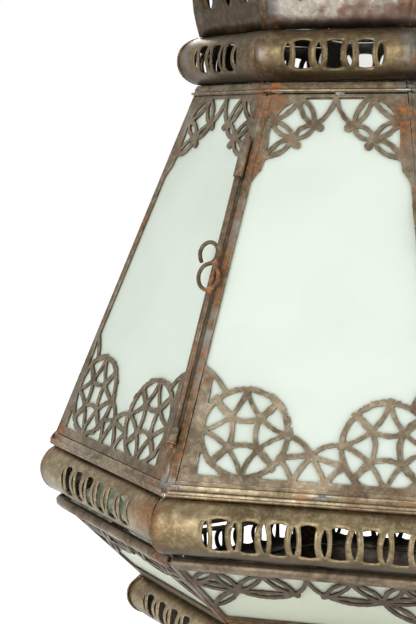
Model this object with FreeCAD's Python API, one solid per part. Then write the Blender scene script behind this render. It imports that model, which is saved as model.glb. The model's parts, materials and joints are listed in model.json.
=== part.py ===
import FreeCAD, Part
import math
import os

# An eight-sided hanging lantern of pierced sheet metal and frosted glass.
# Millimetres, +Z up, the door faces -Y. The origin is where a hook bears in the hanging ring.
# Heights are worked out from the sill, the bottom edge of the main frame, and shifted at the end.

# Main frame, a pyramid cut off at the neck; radii run to the corners
SIDES = 8
ROUND_SIDES = 12
sill_radius = 160.0
neck_radius = 85.0
frame_height = 179.0
post_leg = 1.0
post_thickness = 2.0
rail_width = 5.6
rail_depth = 3.0
rail_proud = 0.8
rail_head_gap = 0.3
rail_foot_gap = 0.8
sill_lip_width = 1.8
sill_lip_reach = 2.0

# Half-round bands; a slot's sizes are shares of the band's height and of the pitch
top_band_height = 23.4
big_band_height = 26.2
small_band_height = 21.0
big_band_step = 2.0
small_band_step = 2.0
band_sheet = 1.0
band_slot_pitch = 17.0
slot_rise_share = 0.21
slot_half_share = 0.28
slot_waist_share = 0.16

# Belly, the lower frame that tapers inwards
belly_swell = 1.0
belly_foot_radius = 115.0
belly_height = 44.4
belly_rail_width = 6.0
belly_rail_proud = 2.0
belly_rail_drop = 3.3
belly_foot_gap = 0.2

# Bottom petals and finial
petal_depth = 38.0
petal_end_radius = 20.0
petal_sheet = 1.0
finial_height = 34.0
finial_radius = 11.0
finial_neck_radius = 4.4
finial_tip_radius = 1.6
finial_collar = 3.0
finial_collar_step = 2.0

# Dome and crown
dome_step = 1.0
dome_swell = 4.0
crown_radius = 26.0
DOME_BENDS = 6
dome_cut_share = 0.8
dome_cut_spread = 0.5
dome_cut_half = 6.0
dome_sheet = 1.0
cap_overhang = 8.0
cap_land = 2.4
cap_height = 12.0

# Hanging eye and ring
eye_hole_radius = 7.0
eye_bar = 5.0
stem_radius = 3.5
shoulder_height = 3.0
shoulder_radius = 5.2
ring_hole_radius = 16.0
ring_bar = 5.6
ring_play = 0.5
RING_STEPS = 20
EYE_SIDES = 12

# Sheets, panes and the gaps between pieces
fret_sheet = 1.0
pane_thickness = 3.0
pane_edge_gap = 1.2
seat_gap = 0.3
seam_gap = 0.2
mitre_gap = 0.1
cut_margin = 1.0
clip_width = 8.0
clip_reach = 5.5
clip_foot = 3.0
clip_sheet = 0.8

# Fretwork pattern: rosettes with a square inside and a plain wedge of sheet beside each
strap = 2.1
stile_strip = 2.2
sill_strip = 4.5
head_strip = 3.0
rosette_radius = 19.0
rosette_wedge = 3.4
wedge_share = 0.88
square_share = 0.45
brace_share = 1.45
foot_share = 0.24

# Knots of the floral corner and of the belly's garland: share of the way to the stile, then of the drop
petal_half = 1.7
floral_drop = 33.0
FLORAL_STILE = (1.0, 0.45)
FLORAL_INNER = (0.40, 0.53)
FLORAL_LOW = (0.67, 0.73)
FLORAL_FOOT = (1.0, 1.0)
FLORAL_TAIL = (1.0, 1.24)
floral_head_share = 0.62
garland_drop = 15.5
garland_strip = 1.2
GARLAND_STILE = (1.0, 0.7)
GARLAND_ROOT_OUT = (0.77, 0.0)
GARLAND_ROOT_IN = (0.33, 0.0)
GARLAND_LOW_OUT = (0.56, 1.0)
GARLAND_LOW_IN = (0.13, 1.0)
GARLAND_TAIL = (1.0, 2.2)

# Door
door_side_gap = 0.5
door_end_gap = 0.6
rim_width = 1.2
rim_setback = 0.6
door_clip_share = 0.5

# Door hinge on the right post, latch on the left post
knuckle_radius = 2.2
knuckle_length = 10.8
knuckle_gap = 0.4
pin_radius = 1.0
running_gap = 0.06
pin_head = 1.0
head_step = 0.4
leaf_length = 6.0
leaf_sheet = 0.9
lower_hinge_at = 30.0
upper_hinge_below_head = 80.0
hinge_stand_off = 3.0
latch_stand_off = 3.0
latch_rod_radius = 1.5
latch_wire = 1.9
latch_loop_radius = 4.6
latch_tail_radius = 5.3
latch_handle_at = 104.5
LATCH_REST = 28.0
LATCH_STEP = 22.5
LATCH_TAIL_STEPS = 12
LATCH_LOOP_STEPS = 13
sleeve_radius = 2.25
sleeve_leaf = 3.0
upper_sleeve_length = 18.0
upper_sleeve_below_head = 47.6
lower_sleeve_length = 7.0
lower_sleeve_at = 23.0

# Lamp inside and cable inlet
bracket_width = 36.0
bracket_height = 40.0
bracket_strip = 14.0
bracket_sheet = 2.0
holder_wall = 6.5
holder_height = 42.0
holder_shoulder = 6.0
socket_radius = 13.5
socket_depth = 27.0
nipple_radius = 4.8
nut_height = 4.0
crown_nut_flats = 14.0
holder_nut_flats = 16.4
bulb_cap_gap = 0.4
bulb_cap_bevel = 5.0
bulb_radius = 30.0
bulb_drop = 78.0
inlet_radius = 4.0
inlet_clearance = 1.5
bush_wall = 2.2
bush_flange = 1.6

# Levels and angles that follow
V = FreeCAD.Vector
UP = V(0, 0, 1)
HALF_TURN = math.pi / SIDES
APOTHEM = math.cos(HALF_TURN)
STEP_DEG = 360.0 / SIDES
z_big_band = -big_band_height
z_belly = z_big_band - belly_height
z_small_band = z_belly - small_band_height
z_petals = z_small_band - petal_depth
z_dome = frame_height + top_band_height
big_band_radius = sill_radius - big_band_step
small_band_radius = belly_foot_radius - small_band_step
belly_radius = sill_radius + belly_swell
dome_base_radius = neck_radius - dome_step
dome_bulge = (dome_base_radius + dome_swell) * APOTHEM
dome_centre = z_dome + math.sqrt(dome_bulge ** 2 - (dome_base_radius * APOTHEM) ** 2)
z_crown = dome_centre + math.sqrt(dome_bulge ** 2 - (crown_radius * APOTHEM) ** 2)
z_cap = z_crown + seat_gap + cap_height
z_eye = z_cap + seat_gap + shoulder_height / 2 + eye_bar + eye_hole_radius
z_pivot = z_eye + eye_hole_radius - ring_bar / 2 - ring_play
z_ring = z_pivot + ring_hole_radius + ring_bar / 2
z_hang = z_ring + ring_hole_radius
z_bracket = z_crown - seat_gap
z_bracket_foot = z_bracket - bracket_height
z_holder = z_bracket_foot - seat_gap
z_socket = z_holder - holder_height
holder_radius = socket_radius + holder_wall
bulb_cap_radius = socket_radius - bulb_cap_gap
bush_radius = inlet_radius + bush_wall
inlet = V(0, eye_hole_radius + eye_bar + inlet_radius + inlet_clearance, 0)


def outward(angle):
    return V(math.sin(angle), -math.cos(angle), 0)


def rightward(angle):
    return V(math.cos(angle), math.sin(angle), 0)


def frame_matrix(x, y, z, origin):
    return FreeCAD.Matrix(x.x, y.x, z.x, origin.x,
                          x.y, y.y, z.y, origin.y,
                          x.z, y.z, z.z, origin.z,
                          0, 0, 0, 1)


class Facet:
    """The front sloping side of an eight-sided frame, as a drawing plane: u right, v up, w out."""

    def __init__(self, z_low, r_low, z_high, r_high):
        low = outward(0) * (r_low * APOTHEM) + UP * z_low
        high = outward(0) * (r_high * APOTHEM) + UP * z_high
        self.length = (high - low).Length
        self.half_low = r_low * math.sin(HALF_TURN)
        self.half_high = r_high * math.sin(HALF_TURN)
        self.lean = math.atan((self.half_low - self.half_high) / self.length)
        x = rightward(0)
        y = (high - low).normalize()
        self.placement = FreeCAD.Placement(frame_matrix(x, y, x.cross(y), low))

    def edge(self, v, margin):
        """Half width at height v, less a margin taken square to the slanting side."""
        half = self.half_low + (self.half_high - self.half_low) * v / self.length
        return half - margin / math.cos(self.lean)

    def outline(self, margin, v_low, v_high):
        return [V(-self.edge(v_low, margin), v_low, 0),
                V(self.edge(v_low, margin), v_low, 0),
                V(self.edge(v_high, margin), v_high, 0),
                V(-self.edge(v_high, margin), v_high, 0)]

    def plate(self, loops, back, front):
        """A flat plate on this side, from the outline and holes in loops, between two depths."""
        wires = [polygon(loop) for loop in loops]
        face = Part.makeFace(wires, "Part::FaceMakerBullseye")
        face.translate(UP * back)
        solid = face.extrude(UP * (front - back))
        solid.Placement = self.placement.multiply(solid.Placement)
        return solid


class Corner:
    """The line of one corner of the main frame, and the turning axis that stands off it."""

    def __init__(self, angle, stand_off, axis_side=0):
        out = outward(angle)
        self.angle = angle
        self.foot = out * sill_radius
        head = out * neck_radius + UP * frame_height
        self.length = (head - self.foot).Length
        self.along = (head - self.foot).normalize()
        self.out = rightward(angle).cross(self.along)
        stand = self.face_normal(axis_side) if axis_side else self.out
        self.axis_foot = self.foot + stand * stand_off

    def face_direction(self, sign):
        """Square to the corner line, along the side to the right (1) or to the left (-1)."""
        face = rightward(self.angle + sign * HALF_TURN) * sign
        return (face - self.along * face.dot(self.along)).normalize()

    def face_normal(self, sign):
        """Outwards from the side to the right (1) or to the left (-1)."""
        normal = self.along.cross(self.face_direction(sign))
        return normal * math.copysign(1, normal.dot(self.out))

    def placement(self, across, distance):
        """On the turning axis, with x along across and z up the corner line."""
        origin = self.axis_foot + self.along * distance
        return FreeCAD.Placement(frame_matrix(across, self.along.cross(across), self.along, origin))


upper = Facet(0, sill_radius, frame_height, neck_radius)
belly = Facet(z_belly, belly_foot_radius, z_big_band, belly_radius)
petal = Facet(z_petals, petal_end_radius, z_small_band, small_band_radius)
hinge_corner = Corner(HALF_TURN, hinge_stand_off)
latch_corner = Corner(-HALF_TURN, latch_stand_off, -1)
belly_rail_low = belly.length - belly_rail_drop - belly_rail_width
upper_hinge_at = hinge_corner.length - upper_hinge_below_head
upper_sleeve_at = latch_corner.length - upper_sleeve_below_head


def polygon(points):
    return Part.makePolygon(points + points[:1])


def mirrored(loop):
    return [V(-p.x, p.y, 0) for p in loop]


def with_mirror(loops):
    return loops + [mirrored(loop) for loop in loops]


def turned(shape, side):
    copy = shape.copy()
    copy.rotate(V(), UP, side * STEP_DEG)
    return copy


def all_round(shape):
    return Part.makeCompound([turned(shape, side) for side in range(SIDES)])


def save(name, shape):
    shape = shape.copy()
    shape.translate(UP * -z_hang)
    shape.exportStep("parts/" + name + ".step")
    print(name, len(shape.Solids), "solids", shape.isValid())


def cylinder(radius, z_low, z_high, centre=V()):
    return Part.makeCylinder(radius, z_high - z_low, V(centre.x, centre.y, z_low))


def side_corners(count):
    """Directions of the corners of an upright bar with that many sides, a flat one facing the door."""
    return [outward((2 * i + 1) * math.pi / count) for i in range(count)]


def turned_profile(points, sides=ROUND_SIDES):
    """A piece turned about Z with flat sides, from points of radius and height at its corners."""
    corners = side_corners(sides)
    faces = []
    for (r_from, z_from), (r_to, z_to) in zip(points, points[1:]):
        for i in range(sides):
            here = corners[i - 1]
            there = corners[i]
            loop = [here * r_from + UP * z_from, there * r_from + UP * z_from,
                    there * r_to + UP * z_to, here * r_to + UP * z_to]
            if r_from == 0:
                loop = loop[1:]
            if r_to == 0:
                loop = loop[:-1]
            faces.append(Part.Face(polygon(loop)))
    return Part.makeSolid(Part.makeShell(faces)).removeSplitter()


def bar(radius, z_low, z_high, sides=ROUND_SIDES, centre=V()):
    """An upright bar with flat sides and its corners on the radius."""
    rim = [centre + corner * radius + UP * z_low for corner in side_corners(sides)]
    return Part.Face(polygon(rim)).extrude(UP * (z_high - z_low))


def hole(radius, z_low, z_high, centre=V()):
    """An upright hole with flat sides, the flats on the radius, to cut with."""
    return bar(radius / math.cos(math.pi / ROUND_SIDES), z_low, z_high, ROUND_SIDES, centre)


def bent_bar(middle, thickness, start_degrees, step_degrees, steps):
    """Bar with six sides bent in the XZ plane about the origin; a full turn makes a closed ring."""
    closed = abs(step_degrees * steps) >= 360
    sections = []
    for k in range(steps if closed else steps + 1):
        turn = math.radians(start_degrees + k * step_degrees)
        loop = []
        for i in range(6):
            angle = math.radians(60 * i)
            radius = middle + thickness / 2 * math.cos(angle)
            loop.append(V(radius * math.cos(turn), thickness / 2 * math.sin(angle), radius * math.sin(turn)))
        sections.append(loop)
    faces = []
    if not closed:
        faces = [Part.Face(polygon(sections[0])), Part.Face(polygon(sections[-1]))]
    for k in range(steps):
        here = sections[k]
        there = sections[(k + 1) % len(sections)]
        for i in range(6):
            faces.append(Part.Face(polygon([here[i - 1], here[i], there[i], there[i - 1]])))
    return Part.makeSolid(Part.makeShell(faces))


def sector(gap):
    """The wedge of space that one side of the lantern fills, less half the gap at each mitre."""
    reach = 2 * sill_radius
    half = reach * math.tan(HALF_TURN)
    shift = gap / 2 / math.sin(HALF_TURN)
    plan = [V(0, -shift, -reach), V(half, -shift - reach, -reach), V(-half, -shift - reach, -reach)]
    return Part.Face(polygon(plan)).extrude(UP * 3 * reach)


# Fretwork drawing
def inset(loop, distance):
    """The straight-sided loop with every side moved inwards."""
    count = len(loop)
    area = sum(loop[i - 1].x * loop[i].y - loop[i].x * loop[i - 1].y for i in range(count))
    sign = math.copysign(1, area)
    sides = []
    for i in range(count):
        along = (loop[(i + 1) % count] - loop[i]).normalize()
        inner = V(-along.y, along.x, 0) * sign
        sides.append((loop[i] + inner * distance, along))
    corners = []
    for i in range(count):
        p, d = sides[i - 1]
        q, e = sides[i]
        t = ((q.x - p.x) * e.y - (q.y - p.y) * e.x) / (d.x * e.y - d.y * e.x)
        corners.append(p + d * t)
    return corners


def on_ring(centre, radius, degrees):
    angle = math.radians(degrees)
    return centre + V(math.cos(angle), math.sin(angle), 0) * radius


def rosette(centre):
    """Holes of a ring with a square inside, each corner of it tied to the ring at two points."""
    square_radius = square_share * rosette_radius
    holes = [[on_ring(centre, square_radius, 90 * k + 45) for k in range(4)]]
    for k in range(4):
        corner = on_ring(centre, square_radius, 90 * k + 45)
        before = on_ring(centre, square_radius, 90 * k - 45)
        pole = on_ring(centre, rosette_radius, 90 * k)
        diagonal = on_ring(centre, rosette_radius, 90 * k + 45)
        next_pole = on_ring(centre, rosette_radius, 90 * k + 90)
        holes.append([pole, corner, before])
        holes.append([pole, diagonal, next_pole, corner])
    return [inset(loop, strap / 2) for loop in holes]


def upper_fretwork(margin, v_low, v_high):
    """Outline and holes of a main fretwork sheet; holes are drawn on the right and mirrored."""
    def stile(v):
        return upper.edge(v, margin + stile_strip)

    def at(side_share, v):
        return V(stile(v) * side_share, v, 0)

    def round_ring(degrees):
        return on_ring(ring, rosette_radius, degrees)

    # Rosettes above the sill, the zigzag between them and the braces beside them
    v_sill = v_low + sill_strip
    v_ring = v_sill + rosette_radius
    ring = V(stile(v_ring) - rosette_wedge - rosette_radius, v_ring, 0)
    link = V(0, v_ring - square_share * rosette_radius, 0)
    foot = V(foot_share * ring.x, v_sill, 0)
    knot = round_ring(207)
    brace_top = at(1, v_ring + brace_share * rosette_radius)
    brace_heel = at(wedge_share, brace_top.y - strap)
    right = rosette(ring)
    for loop in ([round_ring(180), knot, link], [link, knot, foot],
                 [knot, round_ring(235), round_ring(262), foot],
                 [round_ring(-38), round_ring(-78), at(wedge_share, v_sill)],
                 [round_ring(36), brace_heel, round_ring(70)]):
        right.append(inset(loop, strap / 2))

    # Floral corners under the head, as petals between knots
    v_head = v_high - head_strip

    def floral(shares):
        return at(shares[0], v_head - shares[1] * floral_drop)

    a = floral(FLORAL_STILE)
    b = at(floral_head_share, v_head - strap / 2)
    c = floral(FLORAL_INNER)
    d = floral(FLORAL_LOW)
    e = floral(FLORAL_FOOT)
    f = V(0, v_head, 0)
    tail = floral(FLORAL_TAIL)
    for loop in ([a, b, c, d], [a, d, e], [b, c, f]):
        right.append(inset(loop, petal_half))

    # The wide opening between them
    outer_ring = rosette_radius + strap / 2
    opening = [on_ring(ring, outer_ring, angle) for angle in (160, 130, 100, 76)]
    opening.append(brace_top + V(0, strap, 0))
    opening.append(tail)
    for p, q in ((e, d), (d, c)):
        along = (q - p).normalize()
        across = V(-along.y, along.x, 0) * petal_half
        opening.append((p + q) / 2 + across)
        opening.append(q + across)
    opening.append((c + f) / 2 - V(strap, 0, 0))
    opening = [link + V(0, strap, 0)] + opening + [f - V(0, 2 * strap, 0)]
    left_side = [V(-p.x, p.y, 0) for p in reversed(opening[1:-1])]
    under_link = inset([link, V(-foot.x, foot.y, 0), foot], strap / 2)
    return [upper.outline(margin, v_low, v_high), opening + left_side, under_link] + with_mirror(right)


def belly_fretwork(margin, v_low, v_high):
    """Outline and holes of a belly sheet: a garland of petals hung from its head."""
    def stile(v):
        return belly.edge(v, margin + stile_strip)

    v_head = v_high - garland_strip

    def knot(shares):
        v = v_head - shares[1] * garland_drop
        return V(shares[0] * stile(v), v, 0)

    corner = knot(GARLAND_STILE)
    root_out = knot(GARLAND_ROOT_OUT)
    root_in = knot(GARLAND_ROOT_IN)
    cusp = V(0, v_head, 0)
    drop_out = knot(GARLAND_LOW_OUT)
    drop_in = knot(GARLAND_LOW_IN)
    tail = knot(GARLAND_TAIL)
    right = []
    for loop in ([root_out, root_in, drop_out], [root_in, drop_out, drop_in], [root_in, cusp, drop_in],
                 [corner, root_out, drop_out], [corner, drop_out, tail]):
        right.append(inset(loop, petal_half))
    opening = [V(stile(v_low + stile_strip), v_low + stile_strip, 0)]
    opening.append(tail - V(0, petal_half, 0))
    opening.append((tail + drop_out) / 2 - V(petal_half, petal_half, 0))
    opening.append(drop_out - V(0, petal_half, 0))
    opening.append((drop_out + drop_in) / 2 - V(0, 2 * petal_half, 0))
    opening.append(drop_in - V(0, petal_half, 0))
    opening.append(cusp - V(0, 2 * strap, 0))
    left_side = [V(-p.x, p.y, 0) for p in reversed(opening[:-1])]
    return [belly.outline(margin, v_low, v_high), opening + left_side] + with_mirror(right)


# Frames, panes and clips of the two glazed storeys
def corner_post(z_low, r_low, z_high, r_high):
    """A folded angle strip over one corner, its legs flush with the two sides."""
    angle = HALF_TURN
    tip = outward(angle) * r_low
    inner = outward(angle) * (r_low - post_thickness / APOTHEM)
    left = rightward(0) * -post_leg
    right = rightward(2 * angle) * post_leg
    plan = [tip, tip + left, tip + left - outward(0) * post_thickness, inner,
            tip + right - outward(2 * angle) * post_thickness, tip + right]
    rise = outward(angle) * (r_high - r_low) + UP * (z_high - z_low)
    start = seat_gap / rise.Length
    face = Part.Face(polygon(plan))
    face.translate(UP * z_low + rise * start)
    return face.extrude(rise * (1 - 2 * start))


def rail(facet, v_low, v_high, proud):
    outline = facet.outline(post_leg + seam_gap, v_low, v_high)
    return facet.plate([outline], -rail_depth, proud)


def sill_rail():
    """The rail under the main frame, with a lip along its foot that throws a shadow on the band."""
    body = rail(upper, rail_foot_gap, rail_width, rail_proud)
    lip = rail(upper, rail_foot_gap, rail_foot_gap + sill_lip_width, sill_lip_reach)
    return body.fuse(lip).removeSplitter()


def pane(facet, margin, v_low, v_high):
    front = -fret_sheet - seat_gap
    return facet.plate([facet.outline(margin, v_low, v_high)], front - pane_thickness, front)


def clip(facet, u, v_rail, inward):
    """A bent tab: its foot behind the rail, its tongue behind the pane; inward is 1 or -1."""
    pane_back = -fret_sheet - seat_gap - pane_thickness
    tongue_front = pane_back - seat_gap
    tongue_end = v_rail + inward * clip_reach
    foot_end = v_rail - inward * clip_foot
    left = u - clip_width / 2
    right = u + clip_width / 2

    def strip(v_from, v_to, back, front):
        loop = [V(left, v_from, 0), V(right, v_from, 0), V(right, v_to, 0), V(left, v_to, 0)]
        return facet.plate([loop], back, front)

    tongue = strip(foot_end, tongue_end, tongue_front - clip_sheet, tongue_front)
    foot = strip(foot_end, v_rail - inward * seat_gap, tongue_front, -rail_depth - seat_gap)
    return tongue.fuse(foot).removeSplitter()


def pane_clips(facet, v_low, v_high):
    return Part.makeCompound([clip(facet, 0, v_low, 1), clip(facet, 0, v_high, -1)])


def door_clip(u, v):
    """A flat tab behind the rim that holds the edge of the door's pane."""
    half = clip_width / 2
    loop = [V(u - half, v - half, 0), V(u + half, v - half, 0),
            V(u + half, v + half, 0), V(u - half, v + half, 0)]
    front = -fret_sheet - pane_thickness - 2 * seat_gap
    return upper.plate([loop], front - clip_sheet, front)


# Bands
def band_slots(half_width, height, bulge):
    """Waisted openings in a row, with room left plain at each end."""
    count = max(1, int(2 * half_width / band_slot_pitch) - 1)
    tall = slot_rise_share * height
    wide = slot_half_share * band_slot_pitch
    waist = slot_waist_share * band_slot_pitch
    slots = []
    for i in range(count):
        u = (i - (count - 1) / 2) * band_slot_pitch
        loop = [V(u - wide, -bulge, -tall), V(u + wide, -bulge, -tall), V(u + waist, -bulge, 0),
                V(u + wide, -bulge, tall), V(u - wide, -bulge, tall), V(u - waist, -bulge, 0)]
        slots.append(Part.Face(polygon(loop)).extrude(V(0, 4 * band_sheet, 0)))
    return slots


def band(z_low, height, radius):
    """One mitred length of half-round channel, with a flat along its crest for the slots."""
    apothem = radius * APOTHEM
    reach = height / 2
    outer = []
    inner = []
    for degrees in (-90, -60, -30, 30, 60, 90):
        angle = math.radians(degrees)
        outer.append(V(0, -reach * math.cos(angle), reach * math.sin(angle)))
        inner.append(outer[-1] * ((reach - band_sheet) / reach))
    half = (apothem + reach) * math.tan(HALF_TURN)
    face = Part.Face(polygon(outer + inner[::-1]))
    face.translate(V(-half, 0, 0))
    channel = face.extrude(V(2 * half, 0, 0))
    channel = channel.cut(band_slots(half, height, reach * math.cos(math.radians(30)) + band_sheet))
    channel.translate(V(0, -apothem, z_low + reach))
    return channel.common(sector(mitre_gap))


# Dome
def dome_gore():
    """One sheet of the dome, bent to the round in flats and pierced by pointed cut-outs."""
    centre = V(0, 0, dome_centre)
    start = math.asin((z_dome + seat_gap - dome_centre) / dome_bulge)
    bend = (math.asin((z_crown - dome_centre) / dome_bulge) - start) / DOME_BENDS

    def ray(bends):
        angle = start + bend * bends
        return V(0, -math.cos(angle), math.sin(angle))

    outer = [centre + ray(k) * dome_bulge for k in range(DOME_BENDS + 1)]
    inner = [centre + ray(k) * (dome_bulge - dome_sheet) for k in range(DOME_BENDS + 1)]
    half = dome_bulge * math.tan(HALF_TURN)
    face = Part.Face(polygon(outer + inner[::-1]))
    face.translate(V(-half, 0, 0))
    gore = face.extrude(V(2 * half, 0, 0)).common(sector(mitre_gap))
    cuts = []
    low_row = (DOME_BENDS // 6, (-dome_cut_spread, 0, dome_cut_spread))
    high_row = (DOME_BENDS // 2, (0,))
    for flat, shares in (low_row, high_row):
        middle = (outer[flat] + outer[flat + 1]) / 2
        rise = (outer[flat + 1] - outer[flat]) * (dome_cut_share / 2)
        out = ray(flat + 0.5) * dome_sheet
        for share in shares:
            point = middle + V(share * half, 0, 0) + out
            side = V(dome_cut_half, 0, 0)
            loop = [point - rise, point + side, point + rise, point - side]
            cuts.append(Part.Face(polygon(loop)).extrude(out * -3))
    return gore.cut(cuts)


# Door hinge and latch
def leaf_tube(corner, sign, at, length, tube_radius, bore_radius, reach):
    """A tube on the turning axis with a flat leaf that lies on the side to the left or right."""
    across = corner.face_direction(sign)
    normal = corner.face_normal(sign)
    stand = (corner.axis_foot - corner.foot).dot(normal)
    facing = math.copysign(1, corner.along.cross(across).dot(normal))
    leaf = Part.makeBox(reach, leaf_sheet, length)
    low = -facing * (stand - seat_gap)
    leaf.translate(V(seat_gap, low if facing > 0 else low - leaf_sheet, 0))
    tube = bar(tube_radius, 0, length).fuse(leaf).removeSplitter()
    tube = tube.cut(hole(bore_radius, -cut_margin, length + cut_margin))
    tube.Placement = corner.placement(across, at)
    return tube


def headed_pin(radius, head_radius, low, high):
    """A pin with a wider head beyond each end."""
    head = (head_radius, radius)
    profile = [(0, low - pin_head), (head[0], low - pin_head), (head[0], low), (head[1], low),
               (head[1], high), (head[0], high), (head[0], high + pin_head), (0, high + pin_head)]
    return turned_profile(profile)


def hinge_pin(at):
    length = 2 * knuckle_length + knuckle_gap
    pin = headed_pin(pin_radius, knuckle_radius - head_step, -seat_gap, length + seat_gap)
    pin.Placement = hinge_corner.placement(hinge_corner.face_direction(-1), at)
    return pin


def latch_rod():
    """A rod in two sleeves, with an S of thinner wire that stands off the left side at rest."""
    low = lower_sleeve_at - seat_gap
    high = upper_sleeve_at + upper_sleeve_length + seat_gap
    rod = headed_pin(latch_rod_radius, sleeve_radius - head_step, low, high)
    rest = math.radians(LATCH_REST)
    across = latch_corner.face_direction(-1) * math.cos(rest) + latch_corner.face_normal(-1) * math.sin(rest)

    tail = bent_bar(latch_tail_radius, latch_wire, -180, LATCH_STEP, LATCH_TAIL_STEPS)
    tail.translate(V(latch_tail_radius, 0, latch_handle_at - latch_tail_radius))
    loop = bent_bar(latch_loop_radius, latch_wire, -90, -LATCH_STEP, LATCH_LOOP_STEPS)
    loop.translate(V(latch_tail_radius, 0, latch_handle_at + latch_loop_radius))
    rod = rod.fuse([tail, loop])
    rod.Placement = latch_corner.placement(across, 0)
    return rod.removeSplitter()


# Crown, hanger and lamp
def hanger_eye():
    """A flat eye on a stem that passes through the cap and the lamp bracket."""
    eye = bar(eye_hole_radius + eye_bar, -eye_bar / 2, eye_bar / 2, EYE_SIDES)
    eye = eye.cut(hole(eye_hole_radius, -eye_bar, eye_bar))
    eye.rotate(V(), V(0, 1, 0), 90)
    eye.translate(UP * z_eye)
    stem_foot = z_bracket - bracket_sheet - 2 * seat_gap - nut_height
    stem = bar(stem_radius, stem_foot, z_eye - eye_hole_radius - eye_bar / 2)
    shoulder = bar(shoulder_radius, z_cap + seat_gap, z_cap + seat_gap + shoulder_height)
    return eye.fuse([stem, shoulder]).removeSplitter()


def crown_cap():
    top_radius = inlet.y + bush_radius + bush_flange + cap_land
    z_foot = z_crown + seat_gap
    foot_radius = crown_radius + cap_overhang
    cap = turned_profile([(0, z_foot), (foot_radius, z_foot), (top_radius, z_cap), (0, z_cap)], SIDES)
    bores = [hole(stem_radius + seat_gap, z_crown, z_cap + cut_margin),
             hole(bush_radius + mitre_gap, z_crown, z_cap + cut_margin, inlet)]
    return cap.cut(bores)


def cable_bush():
    z_flange = z_cap + seat_gap
    bush = bar(bush_radius, z_crown + seat_gap, z_flange, ROUND_SIDES, inlet)
    flange = bar(bush_radius + bush_flange, z_flange, z_flange + bush_flange, ROUND_SIDES, inlet)
    bore = cylinder(inlet_radius, z_crown, z_flange + 2 * bush_flange, inlet)
    return bush.fuse(flange).cut(bore)


def hex_nut(z_low, height, bore, across_flats):
    nut = bar(across_flats / math.sqrt(3), z_low, z_low + height, 6)
    return nut.cut(hole(bore, z_low - cut_margin, z_low + height + cut_margin))


def lamp_bracket():
    outer = Part.makeBox(bracket_width, bracket_strip, bracket_height)
    inner = Part.makeBox(bracket_width - 2 * bracket_sheet, bracket_strip, bracket_height - 2 * bracket_sheet)
    inner.translate(V(bracket_sheet, 0, bracket_sheet))
    stirrup = outer.cut(inner)
    stirrup.translate(V(-bracket_width / 2, -bracket_strip / 2, z_bracket_foot))
    top_cut = z_bracket + cut_margin
    foot_cut = z_bracket_foot - cut_margin
    bores = [hole(stem_radius + seat_gap, z_bracket - 2 * bracket_sheet, top_cut),
             hole(nipple_radius + seat_gap, foot_cut, z_bracket_foot + 2 * bracket_sheet)]
    return stirrup.cut(bores)


def lamp_holder():
    shoulder = holder_radius - holder_shoulder
    wall = holder_height - socket_depth
    nipple_top = z_bracket_foot + bracket_sheet + nut_height + 2 * seat_gap
    return turned_profile([(0, nipple_top), (nipple_radius, nipple_top), (nipple_radius, z_holder),
                           (shoulder, z_holder), (holder_radius, z_holder - wall),
                           (holder_radius, z_socket), (socket_radius, z_socket),
                           (socket_radius, z_socket + socket_depth), (0, z_socket + socket_depth)])


def bulb_cap():
    top = z_socket + socket_depth - seat_gap
    tip_radius = bulb_cap_radius - bulb_cap_bevel
    return turned_profile([(0, top), (tip_radius, top), (bulb_cap_radius, top - bulb_cap_bevel),
                           (bulb_cap_radius, z_socket + seat_gap), (0, z_socket + seat_gap)])


def bulb_glass():
    """A pear-shaped envelope: a neck that flares into a globe."""
    z_globe = z_socket - bulb_drop + bulb_radius
    profile = [(0, z_socket), (bulb_cap_radius, z_socket)]
    for degrees in (30, 0, -30, -60, -90):
        angle = math.radians(degrees)
        profile.append((bulb_radius * math.cos(angle), z_globe + bulb_radius * math.sin(angle)))
    return turned_profile(profile)


def bottom_finial():
    """A collar that the petals stand on and a drop of two eight-sided pyramids below it."""
    collar_radius = petal_end_radius + finial_collar_step
    neck_top = z_petals - finial_collar
    neck_foot = neck_top - finial_collar / 2
    tip = neck_top - finial_height
    waist = (neck_foot + tip) / 2
    z_top = z_petals - seat_gap
    return turned_profile([(0, z_top), (collar_radius, z_top), (collar_radius, neck_top),
                           (finial_neck_radius, neck_top), (finial_neck_radius, neck_foot),
                           (finial_radius, waist), (finial_tip_radius, tip), (0, tip)], SIDES)


os.makedirs("parts", exist_ok=True)

# Hanging and lamp
ring = bent_bar(ring_hole_radius + ring_bar / 2, ring_bar, 0, 360 / RING_STEPS, RING_STEPS)
ring.translate(UP * z_ring)
save("hanging_ring", ring)
save("hanger_eye", hanger_eye())
save("crown_cap", crown_cap())
save("cable_bush", cable_bush())
save("crown_nut", hex_nut(z_bracket - bracket_sheet - seat_gap - nut_height, nut_height,
                          stem_radius + seat_gap, crown_nut_flats))
save("lamp_bracket", lamp_bracket())
save("lamp_holder", lamp_holder())
save("holder_nut", hex_nut(z_bracket_foot + bracket_sheet + seat_gap, nut_height,
                           nipple_radius + seat_gap, holder_nut_flats))
save("bulb_cap", bulb_cap())
save("bulb_glass", bulb_glass())

# Dome, bands and bottom
save("dome_gores", all_round(dome_gore()))
save("top_band", all_round(band(frame_height, top_band_height, neck_radius)))
save("big_band", all_round(band(z_big_band, big_band_height, big_band_radius)))
save("small_band", all_round(band(z_small_band, small_band_height, small_band_radius)))
petal_outline = petal.outline(0, 0, petal.length - seat_gap)
petal_plate = petal.plate([petal_outline], -petal_sheet, 0).common(sector(mitre_gap))
save("bottom_petals", all_round(petal_plate))
save("bottom_finial", bottom_finial())

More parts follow.
